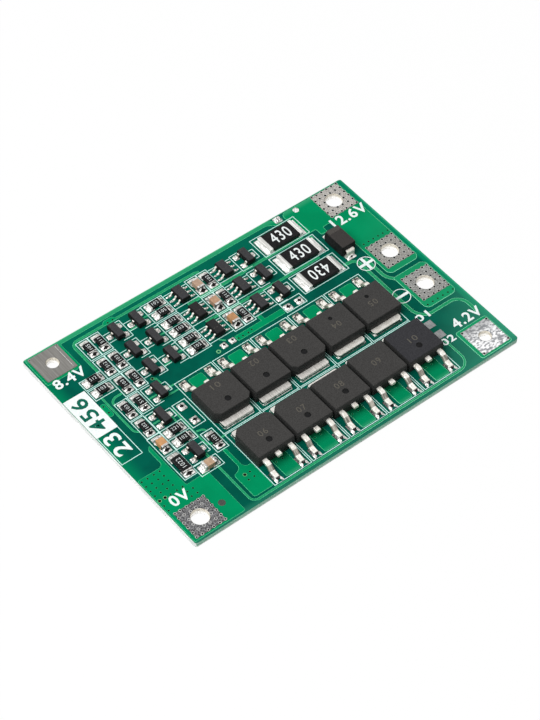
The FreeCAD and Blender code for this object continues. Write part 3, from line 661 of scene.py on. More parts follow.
TRACES = [
    ([(0.8, 18.3), (0.2, 18.58), (-21.9, 18.58), (-22.55, 17.9), (-22.55, 11.9)], 0.48, 0.5),
    ([(-25.0, 7.8), (-25.0, 0.3), (-24.4, -0.3)], 0.38, 0.3),
    ([(-24.3, 5.6), (-24.3, 6.2), (-23.6, 6.8), (-22.2, 6.8)], 0.4, 0.5),
    ([(-17.2, 6.3), (-16.75, 6.1), (-16.65, 4.8)], 0.42, 0.2),
    ([(-4.4, 14.25), (6.1, 14.25), (6.6, 14.45), (17.6, 14.45)], 0.55, 0.3),
    ([(-4.4, 10.0), (6.0, 9.85), (9.6, 9.7), (17.0, 9.7)], 0.5, 0.3),
    ([(-19.4, -8.9), (-19.4, -19.0), (-18.7, -19.57), (19.9, -19.57), (21.1, -18.4), (21.1, -14.0)], 0.42, 1.2),
    ([(18.9, 6.15), (20.3, 6.15), (21.05, 5.4), (21.05, -7.4), (22.3, -8.8), (27.5, -8.8), (28.7, -9.9),
      (28.7, -12.6)], 0.6, 1.2),
    ([(22.3, 5.3), (22.3, 0.7), (23.2, -0.5)], 0.62, 0.8),
    ([(-18.3, 0.2), (-18.3, -7.4), (-18.0, -8.05), (-15.3, -8.05)], 0.3, 0.3),
    ([(-19.4, 2.5), (-15.3, 2.5)], 0.3, 0.1),
    ([(-19.8, 3.6), (-15.3, 3.6)], 0.3, 0.1),
    ([(-22.0, -0.35), (-19.0, -0.35), (-19.2, -2.2)], 0.3, 0.2),
    ([(-18.0, -5.1), (-17.1, -5.3), (-16.8, -5.8)], 0.35, 0.3),
    *[([(left, front), (right, rear)], 0.3, 0.1) for left, front, right, rear in SHORT_TRACES],
    ([(18.7, 13.9), (18.7, 13.2)], 0.4, 0.1),
]


def wire_holes(points):
    """The drilled holes of the wire terminals that lie within an outline, as clockwise loops."""
    loops = []
    for node, radius in TERMINALS.items():
        across, back = middle(corners(node))
        within = False
        for (ax, ay), (bx, by) in zip(points, points[1:] + points[:1]):
            if (ay > back) != (by > back) and across < ax + (back - ay) / (by - ay) * (bx - ax):
                within = not within
        if within:
            loops.append(disc(radius + 0.5, (across, back), 32)[::-1])
    return loops


POURS_BELOW = [(-29.6, 29.6, -19.9, -0.4), (22.6, 29.6, 0.4, 19.9), (-29.6, 21.9, 13.6, 19.9)]
TRACK_BELOW = [(-26, 1.6), (-14, 1.6), (-10, 4.2), (20.5, 4.2)]
TRACK_PITCH, TRACK_WIDTH = 1.5, 0.45


def make_underside():
    """The back of the board: three wide pours, tracks and the far ends of the drilled holes, all under mask.
    Each kind has a level of its own, so that no two faces share a plane."""
    shape = Shape()
    ring_level, bore_level, pour_level, track_level, top = 0.002, 0.004, 0.006, 0.008, MASK_LOW + 0.004
    pour, edge, track, ring, bore = range(5)
    for bounds in POURS_BELOW:
        points = rectangle(*bounds)
        shape.plate([rounded(points, 0.6)] + wire_holes(points), pour_level, top, 0.03, pour, edge, under=True)
    for row in range(3):
        path = [(x, y + row * TRACK_PITCH) for x, y in TRACK_BELOW]
        shape.plate([band(bend_path(path, 1.5), TRACK_WIDTH)], track_level, top, 0.02, track, edge, under=True)
    for x, y, size in VIAS:
        outer, inner = via_loops(x, y, size, 0.6)
        shape.plate([outer, inner[::-1]], ring_level, top, 0.0, ring, under=True)
        shape.plate([inner], bore_level, top, 0.0, bore, under=True)
    # The pale edges of the pours and tracks are painted highlight, and the dark bores are painted shade.
    shape.piece("underside_copper", [ZONE, ZONE_EDGE, TRACE, VIA, HOLE])


POUR_STEP, TRACE_STEP, TRACE_DROP = 0.0006, 0.0003, 0.01


def make_copper():
    """Copper under the mask stands a little higher than the bare laminate, with a pale line of painted highlight at
    its edge.
    Each area lies a hair lower than the one before it, so that no two faces share a plane."""
    zones, traces = Shape(), Shape()
    for number, (points, radius) in enumerate(ZONES):
        edge = 0.07 if points[0][0] > 17 else 0.05
        high = COPPER - POUR_STEP * number
        zones.plate([rounded(points, radius)] + wire_holes(points), BOARD_TOP, high, edge, 0, 1)
    # Finish 2 on the front lead areas carries the painted shadow of the transistor bodies.
    for row, front, rear, finish in ((LEAD_ZONES, -19.0, -13.6, 2), (LEAD_ZONES_BACK, -1.0, 3.0, 0)):
        for left, right in row:
            zones.plate([bounds_outline(left, right, front, rear, 0.35)], BOARD_TOP, COPPER, 0.05, finish, 1)
    for number, (points, width, radius) in enumerate(TRACES):
        high = COPPER - TRACE_DROP - TRACE_STEP * number
        traces.plate([band(bend_path(points, radius), width - 0.06)], BOARD_TOP, high, 0.05, 0, 1)
    zones.piece("copper_zones", [ZONE, ZONE_EDGE, LEAD_ZONE])
    traces.piece("copper_traces", [TRACE, ZONE_EDGE])


# Print

PRINT_WIDTH = 0.105
CHANNELS = (16.15, 12.0, 7.87)
CHANNEL_FRONT, CHANNEL_REAR = -1.93, 1.95
MOSFET_COLUMNS = [(-15.25, -8.6), (-8.3, -1.6), (-1.3, 5.4), (5.7, 12.35), (12.65, 19.4)]
MOSFET_ROWS = [(-7.84, 3.55), (-19.2, -8.05)]
BOXES = [
    (-25.95, -22.15, 10.15, 12.0), (-25.95, -22.15, 7.85, 9.9),
    (-24.4, -22.3, 1.95, 5.7), (-22.1, -20.2, 1.95, 5.7), (-24.4, -22.3, -2.0, 1.75),
    (-24.5, -22.3, -6.0, -2.1), (-24.55, -22.35, -10.9, -6.05),
    (-22.2, -18.4, -4.0, -2.05), (-22.2, -18.4, -6.0, -4.05), (-22.3, -18.35, -11.85, -9.8),
    (-17.95, -15.95, -9.85, -5.9), (-18.0, -15.75, -4.35, 0.6),
    (10.6, 19.1, 14.5, 18.5), (10.6, 19.1, 10.0, 13.9), (10.6, 19.1, 5.3, 9.2),
    (6.2, 9.95, 4.1, 6.0),
]
BRACKETS = [
    [(-18.2, 5.6), (-19.85, 5.6), (-19.85, 2.05), (-18.2, 2.05)],
    [(-16.9, 4.75), (-16.0, 4.75), (-16.0, 3.05), (-16.5, 3.05)],
    [(-22.2, 1.45), (-20.7, 1.45)],
    [(-22.2, 1.45), (-22.2, -2.0)],
    [(-19.5, 0.55), (-18.4, 0.55), (-18.4, -1.1), (-18.9, -1.1)],
    [(-22.3, -6.1), (-22.3, -9.7), (-20.6, -9.7)],
    [(-19.5, -7.05), (-18.45, -7.05), (-18.45, -8.85), (-18.95, -8.85)],
    [(-29.9, -3.45), (-26.3, -3.45), (-26.3, 2.3)],
    [(-29.85, -3.45), (-29.85, 2.3)],
]
CHANNEL_BOXES = [(-22.1, -20.15), (-20.05, -18.1), (-10.4, -6.55), (-2.15, -0.15), (-0.05, 1.8)]
CHANNEL_LINES = [
    [(-18.1, 0.85), (-16.8, 0.85)], [(-18.1, -0.85), (-16.8, -0.85)],
    [(-15.1, 1.85), (-14.35, 1.85), (-14.35, -1.7), (-16.0, -1.7)],
    [(-14.3, 0.85), (-13.0, 0.85)], [(-14.3, -0.85), (-13.0, -0.85)],
    [(-11.1, 1.8), (-10.5, 1.8)], [(-12.2, -1.75), (-10.5, -1.75)],
    [(-10.4, 0.0), (-6.55, 0.0)],
    [(-6.5, 1.5), (-4.9, 1.5)], [(-3.1, 1.5), (-2.25, 1.5)], [(-6.5, -1.55), (-2.2, -1.55)],
    [(1.8, 1.5), (3.4, 1.5)], [(5.2, 1.5), (6.0, 1.5)], [(1.8, -1.55), (6.0, -1.55)],
    [(7.9, 1.75), (6.15, 1.75), (6.15, -1.75), (7.9, -1.75)],
    [(9.15, 0.95), (9.95, 0.95), (9.95, -0.9), (9.3, -0.9)],
]
LABELS = [
    ("8.4V", -29.1, -23.75, 12.7, 14.5, 0, 0.022), ("12.6V", 22.8, 29.4, 12.6, 14.55, 0, 0.022),
    ("4.2V", 23.9, 29.3, -13.55, -11.7, 0, 0.022), ("0V", -28.55, -25.45, -13.7, -11.8, 0, 0.022),
    ("01", 20.3, 22.7, -9.2, -7.9, 0, 0.02), ("02", 20.3, 22.7, -14.9, -13.6, 0, 0.02),
    ("23", -29.55, -26.95, -2.2, 1.9, 1, 0.018),
]
PRINT_BLOCK = (-29.95, -26.2, 2.35, 10.4)
BLOCK_DIGITS = (-29.55, -26.95, 3.1, 9.6)
SIGNS = (((21.75, 4.4), True), ((21.7, -3.7), False))
SIGN_RADIUS, SIGN_RING, SIGN_LENGTH, SIGN_WIDTH = 1.42, 0.12, 2.5, 0.46


def line_box(left, right, front, rear):
    """A rectangle of printed line as two loops, the inner one clockwise."""
    half = PRINT_WIDTH / 2
    outer = bounds_outline(left - half, right + half, front - half, rear + half)
    inner = bounds_outline(left + half, right - half, front + half, rear - half)
    return [outer, inner[::-1]]


def make_print():
    boxes = BOXES + [(*column, *row) for column in MOSFET_COLUMNS for row in MOSFET_ROWS]
    boxes += [(*column, channel + CHANNEL_FRONT, channel + CHANNEL_REAR)
              for channel in CHANNELS for column in CHANNEL_BOXES]
    lines = Shape()
    for box in boxes:
        lines.plate(line_box(*box), BOARD_TOP, SILK)
    strokes = BRACKETS + [[(x, y + channel) for x, y in points] for channel in CHANNELS for points in CHANNEL_LINES]
    for points in strokes:
        for ends in zip(points, points[1:]):
            lines.plate([band(ends, PRINT_WIDTH)], BOARD_TOP, SILK)
    lines.piece("print_lines", [LINE])

    letters = Shape()
    for text, left, right, front, rear, turn, weight in LABELS:
        letters.letters(text, left, right, front, rear, BOARD_TOP, SILK, turn, weight)
    letters.plate([bounds_outline(*PRINT_BLOCK)], BOARD_TOP, SILK)
    letters.letters("456", *BLOCK_DIGITS, SILK, SILK + 0.012, 1, 0.018, 1)
    for centre, plus in SIGNS:
        loops = [disc(SIGN_RADIUS, centre, 40), disc(SIGN_RADIUS - SIGN_RING, centre, 40)[::-1]]
        letters.plate(loops, BOARD_TOP, SILK)
        letters.plate([oblong(SIGN_LENGTH, SIGN_WIDTH, 0, centre)], BOARD_TOP, SILK)
        if plus:
            letters.plate([oblong(SIGN_WIDTH, SIGN_LENGTH, 0, centre)], BOARD_TOP, SILK + 0.001)
    letters.piece("print_letters", [WHITE, KNOCKOUT], slot="white_print")


# Vias

VIAS = (
    [(x, y, 1) for x in (-29.5, -28.5, -27.4, -26.4) for y in (-7.5, -8.5, -9.5, -10.5)]
    + [(x, -11.55, 1 if x > -28 else 1.5) for x in (-29.5, -28.55, -27.6, -26.5, -25.5)]
    + [(x, y, 1) for x in (-29.5, -25.5, -24.5) for y in (-12.6, -13.6)]
    + [(-17.4, -15.2, 1.5), (-16.5, -15.2, 1), (-17.5, -16.2, 1), (-16.5, -16.2, 1)]
    + [(left + shift, -16.2, 1) for left, _ in LEAD_ZONES for shift in (0.45, 1.5)]
    + [(left + shift, -15.2, 1) for left, _ in LEAD_ZONES for shift in (0.2, 2.2)]
    + [(-15.9, 18.6, 1), (-15.0, 18.65, 1), (-25.75, 6.4, 1), (-25.75, 5.1, 1)]
    + [(-2.55, 4.65, 1), (-1.75, 4.65, 1), (-0.75, 4.65, 1), (0.0, 4.8, 1)]
    + [(24.0 + step * 0.95, 7.6, 1) for step in range(6)]
    + [(23.7 + step * 1.0, -7.3, 1) for step in range(6)]
    + [(-17.15, 6.25, 1.3)]
)
DOMED_DOT = (16.8, 19.4, 0.65)
BRIGHT_DOT = (20.35, 19.3, 0.5)
DULL_DOT = (-22.9, -17.0, 0.55)
OPEN_HOLE = (-6.45, 4.45)
OPEN_RING, OPEN_BORE = 0.36, 0.2
VIA_RADIUS = 0.2
VIA_SIDES = 14


def via_loops(x, y, size, bore):
    """The outlines of a drilled hole's ring, with the bore as a share of it."""
    return [disc(VIA_RADIUS * size * share, (x, y), VIA_SIDES) for share in (1, bore)]


def via(shape, x, y, z, size, ring, hole, height, bore):
    """A drilled hole as a raised ring about a dark disc of painted shade."""
    outer, inner = via_loops(x, y, size, bore)
    shape.plate([outer, inner[::-1]], z, z + height, 0.0, ring)
    shape.plate([inner], z, z + height * 0.3, 0.0, hole)


def make_vias():
    """The via holes, the open one with a bright ring, and three lone lands: dull, bright and domed."""
    shape = Shape()
    ring, hole, dull, bright, open_ring = range(5)
    for x, y, size in VIAS:
        wide = size > 1
        via(shape, x, y, COPPER, size, open_ring if wide else ring, hole, 0.012, 0.78 if wide else 0.7)
    loops = [disc(OPEN_RING, OPEN_HOLE, 20), disc(OPEN_BORE, OPEN_HOLE, 20)[::-1]]
    shape.plate(loops, BOARD_TOP, COPPER, 0.0, open_ring)
    x, y, radius = DOMED_DOT
    shape.pillow(radius * 2, radius * 1.9, 0.22, placed(x, y, COPPER), bright, rough=0.8)
    for (x, y, radius), finish in ((BRIGHT_DOT, bright), (DULL_DOT, dull)):
        shape.stack(disc(radius), [(0, 0), (0.02, 0.03), (0.03, 0.1)], finish, placed(x, y, COPPER))
    dull_tin = look("dull_land", (66, 68, 64), (84, 86, 82), 0.2, 0.5, 0.4)
    shape.piece("vias", [VIA, HOLE, dull_tin, TIN, VIA_BIG], smooth=30)


# Wire terminals

RIM_GRID = [-2.5, -1.55, -0.5, 0.5, 1.55, 2.5]
RIM_START = 2.4
TERMINAL_LOOKS = {
    "terminal_cell_two": ((118, 116, 112), (142, 140, 136), 0.2, (1, 0.05, 1), 0.2),
    "terminal_cell_three": ((128, 124, 118), (214, 210, 204), 0.14, (1, 1, 1), 0.14),
    "terminal_output_plus": ((104, 102, 98), (186, 184, 178), 0.12, (1, 1, 1), 0.14),
    "terminal_output_minus": ((102, 102, 100), (182, 182, 178), 0.12, (0.6, 1, 1), 0.14),
    "terminal_cell_one": ((150, 152, 155), (255, 255, 255), 0.34, (0.6, 1.0, 1), 0.08),
    # The 0V land is dark grey: painted dark reflection.
    "terminal_cell_zero": ((26, 26, 28), (146, 146, 148), 0.22, (1, 1, 1), 0.16),
}


def terminal_spots(node, radius):
    """Where the small drilled holes lie on a land, from its centre."""
    if node == "terminal_cell_two":
        return [(-2.4, 2.42), (2.5, 2.42)]
    if node == "terminal_cell_one":
        return [(x, y) for x in (-2.42, 2.42) for y in (-2.42, 2.42)]
    return [(x, y) for x in RIM_GRID for y in RIM_GRID if math.hypot(x, y) > radius + 0.28]


def make_terminal(node, radius):
    """A tinned land about a plated hole, with small drilled holes in it, and a bare land on the back."""
    box = corners(node)
    left, front, _, right, rear, high = box
    centre = middle(box)
    shape = Shape()
    tin, barrel, ring, dark = range(4)

    def circle(grow):
        return disc(radius + grow, centre, 40)

    shape.plate([bounds_outline(left, right, front, rear, 0.16), circle(0.06)[::-1]], BOARD_TOP, high, 0.04, tin)
    lip = [(0.05, 0.0), (0.0, 0.06), (0.0, high - 0.08), (0.06, high)]
    rings = [[(x, y, z) for x, y in circle(grow)][::-1] for grow, z in lip]
    shape.loft(rings, barrel, bottom=False, top=False)
    under_side = [bounds_outline(left, right, front, rear, 0.3), circle(0)[::-1]]
    shape.plate(under_side, 0.003, MASK_LOW + 0.001, 0.0, tin, under=True)
    shape.plate([circle(BARREL_WALL), circle(0)[::-1]], MASK_LOW, MASK_LOW + 0.02, 0.0, barrel)
    pale = node == "terminal_cell_zero"
    spots = terminal_spots(node, radius)
    for x, y in spots:
        x, y = x + random.uniform(-0.04, 0.04), y + random.uniform(-0.04, 0.04)
        inner = max(abs(x), abs(y)) <= RIM_START
        size = (1.25 if inner else 1.15) if pale else (0.8 if len(spots) == 2 else 1.2)
        place = (centre[0] + x * 0.98, centre[1] + y * 0.98, high)
        via(shape, *place, size, ring, tin if pale and inner else dark, 0.015, 0.66 if pale else 0.74)
    if node == "terminal_cell_two":
        seam = bounds_outline(centre[0] + 2.02, centre[0] + 2.12, front + 0.3, rear - 0.3)
        shape.plate([seam], high, high + 0.01, 0.0, ring)
    shade, light, grain, stretch, spread = TERMINAL_LOOKS[node]
    finish = look(f"{node}_tin", shade, light, grain, 0.4, 0.45, 0.3, stretch, spread)
    if node == "terminal_cell_one":
        fade(finish, "Y", centre[1] + 0.2, centre[1] + 2.4, (122, 124, 126), 0.6)
    shape.piece(node + "_land", [finish, BARREL, TIN_RING, HOLE], [node], "tinned_copper", smooth=30)


# Solder lands, told apart by a width or a depth, and by their place from front to back

TEST_LAND, SPARE_LAND, LEAD_LAND, CHIP_LAND, WIDEST_LEAD_LAND = 1.4, 1.15, 1.5, 0.6, 5
UPPER_ROW, LOWER_LEADS = -8, -12


def near(value, size):
    return abs(value - size) < 0.01


def make_lands():
    """Every land carries a thin skin of solder. Lands with no part on them have a pillow, and test lands are flat."""
    lands, bare = Shape(), Shape()
    for box in members("solder_lands"):
        width, depth, _ = spans(box)
        across, back = middle(box)
        place = placed(across, back, BOARD_TOP)
        if near(width, TEST_LAND) and near(depth, width):
            bare.stack(oblong(width, depth), [(0, 0), (LAND * 0.6, 0.01), (LAND * 0.7, 0.04)], 2, place)
        elif near(width, SPARE_LAND) and near(depth, width):
            bare.stack(oblong(width * 0.85, width * 0.85), [(0, 0), (LAND * 0.4, 0.01)], 0, place, radius=0.1)
            grow, star = (0.88, 0.8) if -6 < across < -2 else (1.12, 1.0)
            lump = placed(across, back, BOARD_TOP + LAND * 0.4)
            # Its dark star is painted dark reflection.
            bare.pillow(width * grow, depth * grow, 0.2, lump, 0, 1, star, sharp=3.0)
        else:
            slim = oblong(width, depth)
            if width > WIDEST_LEAD_LAND:
                slim = oblong(width - 0.36, depth - 0.4)
                if back > UPPER_ROW:
                    # the land of an upper tab shows as a thin rim in front of it
                    grey = across > 5
                    rim = oblong(width - 0.6, 0.06 if grey else 0.1, 0, (0, 0.05 - depth / 2))
                    lands.stack(rim, [(0, 0), (LAND * 0.9, 0.01)], 1 if grey else 0, place)
            elif near(depth, CHIP_LAND):
                slim = oblong(width + 0.1, 0.32)
            # The lands of the lower transistors' leads are grey: painted shade.
            shaded = 1 if back < LOWER_LEADS and near(depth, LEAD_LAND) else 0
            lands.stack(slim, [(0, 0), (LAND * 0.8, 0.02), (LAND, 0.08)], shaded, place, radius=0.1)
    lands.piece("land_skins", [TIN, SOLDER_GREY], ["solder_lands"], "solder", smooth=30)
    grey_tin = look("test_land", (132, 134, 134), (158, 160, 160), 0.12, 0.4, 0.4, 0.2, (1, 0.15, 1))
    bare.piece("bare_lands", [SOLDER, SOLDER_PAINTED_SHADOW_AND_REFLECTION, grey_tin], ["solder_lands"], "solder", smooth=30)


# Two-pole chips

CODES = ("102", "103", "511", "105", "221", "103", "512", "102")
CHIP_FINISHES = [CERAMIC, END, GLAZE, SOLDER, SOLDER_PAINTED_SHADOW_AND_REFLECTION, WHITE, SOLDER_GREY]


def chip_fillet(shape, side, length, reach, breadth, height, place, dark, star, sharp):
    """The solder in front of one end of a chip."""
    start, end = length / 2 - 0.03, length / 2 + reach
    lump = placed(side * (start + end) / 2, 0, 0.0, -90 * side)
    shape.pillow(breadth, end - start, height, place @ lump, 3, dark, star, True, 0.2, sharp)


def chip_core(shape, length, breadth, height, place):
    levels = [(0.03, 0), (height - 0.07, 0), (height - 0.03, 0.05)]
    shape.stack(oblong(length, breadth), levels, 0, place, radius=0.06)


def chip_glaze(shape, top, sides, height, place, radius):
    """The glaze between the ends of a resistor, on its top and down its sides, each with a length and a breadth."""
    levels = [(height - 0.06, 0), (height - 0.01, 0), (height, 0.03)]
    shape.stack(oblong(*top), levels, 2, place, bottom=False, radius=radius)
    shape.stack(oblong(*sides), [(0.05, 0), (height - 0.08, 0), (height - 0.04, 0.04)], 2, place, bottom=False)


def chip(shape, box, end, code=None):
    """A chip part with its two metal ends and its solder, and the glaze and the value of a resistor."""
    width, depth, height = spans(box)
    upright = depth > width
    length, breadth = max(width, depth), min(width, depth)
    place = seat(box, 90 if upright else 0)
    chip_core(shape, length - end, breadth - 0.04, height, place)
    for side in (-1, 1):
        # The end on the shaded side has grey sides and a dark star in its solder: painted shade and painted dark
        # reflection.
        shaded = (side < 0) == upright
        cap = oblong(end, breadth, 0.0, (side * (length - end) / 2, 0))
        levels = [(0, 0.03), (0.06, 0), (height - 0.07, 0), (height - 0.02, 0.03), (height, 0.07)]
        finish = 6 if shaded else 1
        shape.stack(cap, levels, finish, place, top_finish=1, bands=[finish] * 3 + [1], radius=0.08)
        dark = (4 if upright else 6) if shaded else None
        chip_fillet(shape, side, length, 0.65, breadth + 0.16, height * 0.75, place, dark, 1.0, 2.2)
    if code:
        inner = length - 2 * end
        chip_glaze(shape, (inner + 0.06, breadth - 0.12), (inner, breadth), height, place, 0.04)
        half_x, half_y = inner * 0.33, breadth * 0.22
        shape.letters(code, -half_x, half_x, -half_y, half_y, height - 0.004, height + 0.01, 0, -0.012, 5, place)


def make_small_chips():
    for node in ("channel_resistors", "control_resistors"):
        shape = Shape()
        for index, box in enumerate(members(node)):
            long_one = max(spans(box)) > 3
            code = "1022" if long_one else CODES[(index * 5 + len(node)) % len(CODES)]
            chip(shape, box, 0.25 if long_one else 0.19, code)
        shape.piece(node + "_chips", CHIP_FINISHES, [node], "resistor_glaze", smooth=35)


CAPACITOR_COLOURS = [(190, 160, 138), (190, 152, 124), (190, 142, 100), (206, 154, 106), (190, 160, 132)]


def make_capacitors():
    for number, colour in enumerate(CAPACITOR_COLOURS, start=1):
        node = f"capacitor_{number}"
        body = look(f"{node}_ceramic", [part * 0.9 for part in colour], colour, 0.4, 0.5, 0.0, 0.1, (1, 1, 6))
        shape = Shape()
        chip(shape, corners(node), 0.4)
        shape.piece(node + "_chip", [body] + CHIP_FINISHES[1:], [node], "capacitor_ceramic", smooth=35)


BALANCE_END = 0.6
BALANCE_CODE_BOX = (-1.75, 1.75, -1.08, 1.08)


def make_balance():
    for number in (1, 2, 3):
        node = f"balance_resistor_{number}"
        shape = Shape()
        box = corners(node)
        length, breadth, height = spans(box)
        end = BALANCE_END
        inner = length - 2 * end
        place = seat(box)
        chip_core(shape, length - end, breadth - 0.06, height, place)
        for side in (-1, 1):
            cap = oblong(end, breadth, 0.0, (side * (length - end) / 2, 0))
            shape.stack(cap, [(0, 0.03), (0.05, 0), (height - 0.08, 0), (height, 0.07)], 1, place, radius=0.1)
            groove = oblong(0.07, breadth - 0.05, 0.0, (side * (length / 2 - end + 0.16), 0))
            shape.stack(groove, [(height - 0.03, 0), (height + 0.004, 0)], 0, place, bottom=False)
            chip_fillet(shape, side, length, 0.6, breadth * 1.02, height * 0.6, place, None, 0.8, 3.2)
        chip_glaze(shape, (inner - 0.05, breadth - 0.1), (inner, breadth), height, place, 0.05)
        turn = 2 if number == 3 else 0
        shape.letters("430", *BALANCE_CODE_BOX, height - 0.004, height + 0.014, turn, 0.006, 4, place)
        finishes = [CERAMIC, END_WIDE, GLAZE, SOLDER_PALE, WHITE]
        shape.piece(node + "_chip", finishes, [node], "resistor_glaze", smooth=35)


# Small moulded packages

def package(shape, box):
    """A small moulded body with drafted sides that meet at a parting line, and a faint dot or two bars on top."""
    width, depth, height = spans(box)
    place = seat(box)
    parting = height * 0.55
    levels = [(0, 0.07), (parting - 0.04, 0.0), (parting + 0.02, 0.0), (height - 0.05, 0.11), (height, 0.16)]
    # The sides take a near-black copy of the top: painted shade.
    shape.stack(oblong(width, depth), levels, 1, place, top_finish=0, bands=[1, 1, 1, 0], radius=0.09)
    marks = [oblong(0.3, 0.1, 0.02, (step * width, -0.1 * depth)) for step in (-0.28, 0.02)]
    if width < depth * 0.5:
        marks = [disc(0.13, (-width * 0.22, depth * 0.34), 12)]
    for mark in marks:
        shape.stack(mark, [(height - 0.01, 0), (height + 0.006, 0.01)], 2, place, bottom=False)


def make_packages():
    metal = 0.13
    for kind, count, black in (("cell_chip", 6, {3, 5}), ("transistor", 12, set())):
        bodies = []
        for number in range(1, count + 1):
            node = f"{kind}_{number}"
            bodies.append(corners(node))
            shape = Shape()
            package(shape, bodies[-1])
            top = CHIP_BLACK if number in black else CHIP
            shape.piece(node + "_body", [top, CHIP_SIDE_PAINTED_SHADE, BAND], [node], "moulded_plastic", smooth=35)
        shape = Shape()
        for box in members(kind + "_leads"):
            x, y = middle(box)
            body = min(bodies, key=lambda other: math.dist(middle(other), (x, y)))
            centre = middle(body)[0]
            root, reach = spans(body)[0] / 2, max(abs(box[0] - centre), abs(box[3] - centre))
            level, width = box[5] - FLOOR - metal / 2, spans(box)[1]
            place = placed(centre, y, FLOOR, -90 if x > centre else 90)
            points = [(root - 0.1, level), (root + 0.12, level), (reach - 0.35, metal / 2), (reach, metal / 2)]
            path = bend_path(points, 0.16, 4)
            if kind == "transistor":
                # The steep parts take the darker lead metal: painted shade.
                shape.strap(path, width, metal, 0, place, steep=2)
                shape.pillow(0.86, 0.78, 0.14, place @ placed(0, reach - 0.05, SUNK), 1, None, 0.5, False, 0.5)
                # The fillet has a grey star of painted dark reflection.
                shape.pillow(0.8, 0.4, 0.2, place @ placed(0, reach + 0.16, SUNK), 1, 3, 0.9, True, 0.3, 2.8)
            else:
                shape.strap(path, width * 0.75, metal, 0, place)
                # The fillet has a grey star of painted dark reflection.
                shape.pillow(0.3, 0.86, 0.1, place @ placed(0, reach + 0.06, SUNK), 1, 3, 0.9, False, 0.3)
        finishes = [METAL, SOLDER, METAL_STEEP_PAINTED_SHADE, SOLDER_GREY]
        shape.piece(f"{kind}_leads_bent", finishes, [f"{kind}_leads"], "tinned_copper", smooth=40)


# Diode

def make_diode():
    box = corners("diode_body")
    width, depth, height = spans(box)
    place = seat(box)
    shape = Shape()
    levels = [(0, 0.09), (height / 2, 0.0), (height - 0.08, 0.1), (height, 0.2)]
    # The sides take a near-black copy of the top: painted shade.
    shape.stack(oblong(width, depth), levels, 1, place, top_finish=0, bands=[1, 1, 0], radius=0.16)
    band_depth = 0.85
    strip = oblong(width - 0.44, band_depth, 0.04, (0, depth / 2 - band_depth / 2 - 0.22))
    shape.stack(strip, [(height - 0.01, 0), (height + 0.008, 0.01)], 2, place, bottom=False)
    shape.piece("diode_mould", [DIODE_MOULD, CHIP_SIDE_PAINTED_SHADE, BAND], ["diode_body"], "moulded_plastic", smooth=35)

    leads = Shape()
    frame_box = corners("diode_leads")
    metal = 0.2
    wide, reach = spans(frame_box)[0], spans(frame_box)[1] / 2
    level = frame_box[5] - FLOOR - metal / 2
    points = [(depth / 2 - 0.1, level), (reach - metal / 2, level), (reach - metal / 2, metal / 2),
              (reach - 1.1, metal / 2)]
    # The solder of the lead turned about carries a dark star of painted dark reflection.
    for turn, dark in ((0, None), (180, 2)):
        place = placed(*middle(frame_box), FLOOR, turn)
        leads.strap(bend_path(points, 0.22, 5), wide, metal, 0, place)
        leads.pillow(wide + 0.2, 0.55, 0.5, place @ placed(0, reach + 0.22, SUNK), 1, dark, 0.7, True)
    leads.piece("diode_straps", [METAL, SOLDER, SOLDER_PAINTED_SHADOW_AND_REFLECTION], ["diode_leads"], "tinned_copper", smooth=40)


# Power transistors

CUT_CORNERS = {1, 3, 6, 7}
MARK_HIGH = 0.004
DIMPLES = {1: (-1.25, 0.5), 2: (-1.25, 0.5), 3: (-1.25, 0.5), 4: (1.25, 0.34), 5: (1.25, 0.34),
           6: (1.25, 0.5), 7: (1.25, 0.5), 8: (1.25, 0.5), 10: (1.25, 0.5)}
LID_INSET = 0.17
PARTING = 1.15
LEAD_METAL, LEAD_WIDTH, LEAD_PLACE = 0.5, 0.78, 2.286
TAB_HALF, TAB_REACH = 2.675, 3.95
# Transistors 4 and 5, whose tabs are smoother, cut at a wider slant and painted brighter as a highlight.
SMOOTH_TABS = {4, 5}
DRAWN_IN, DRAWN_IN_BY = 8, 0.28


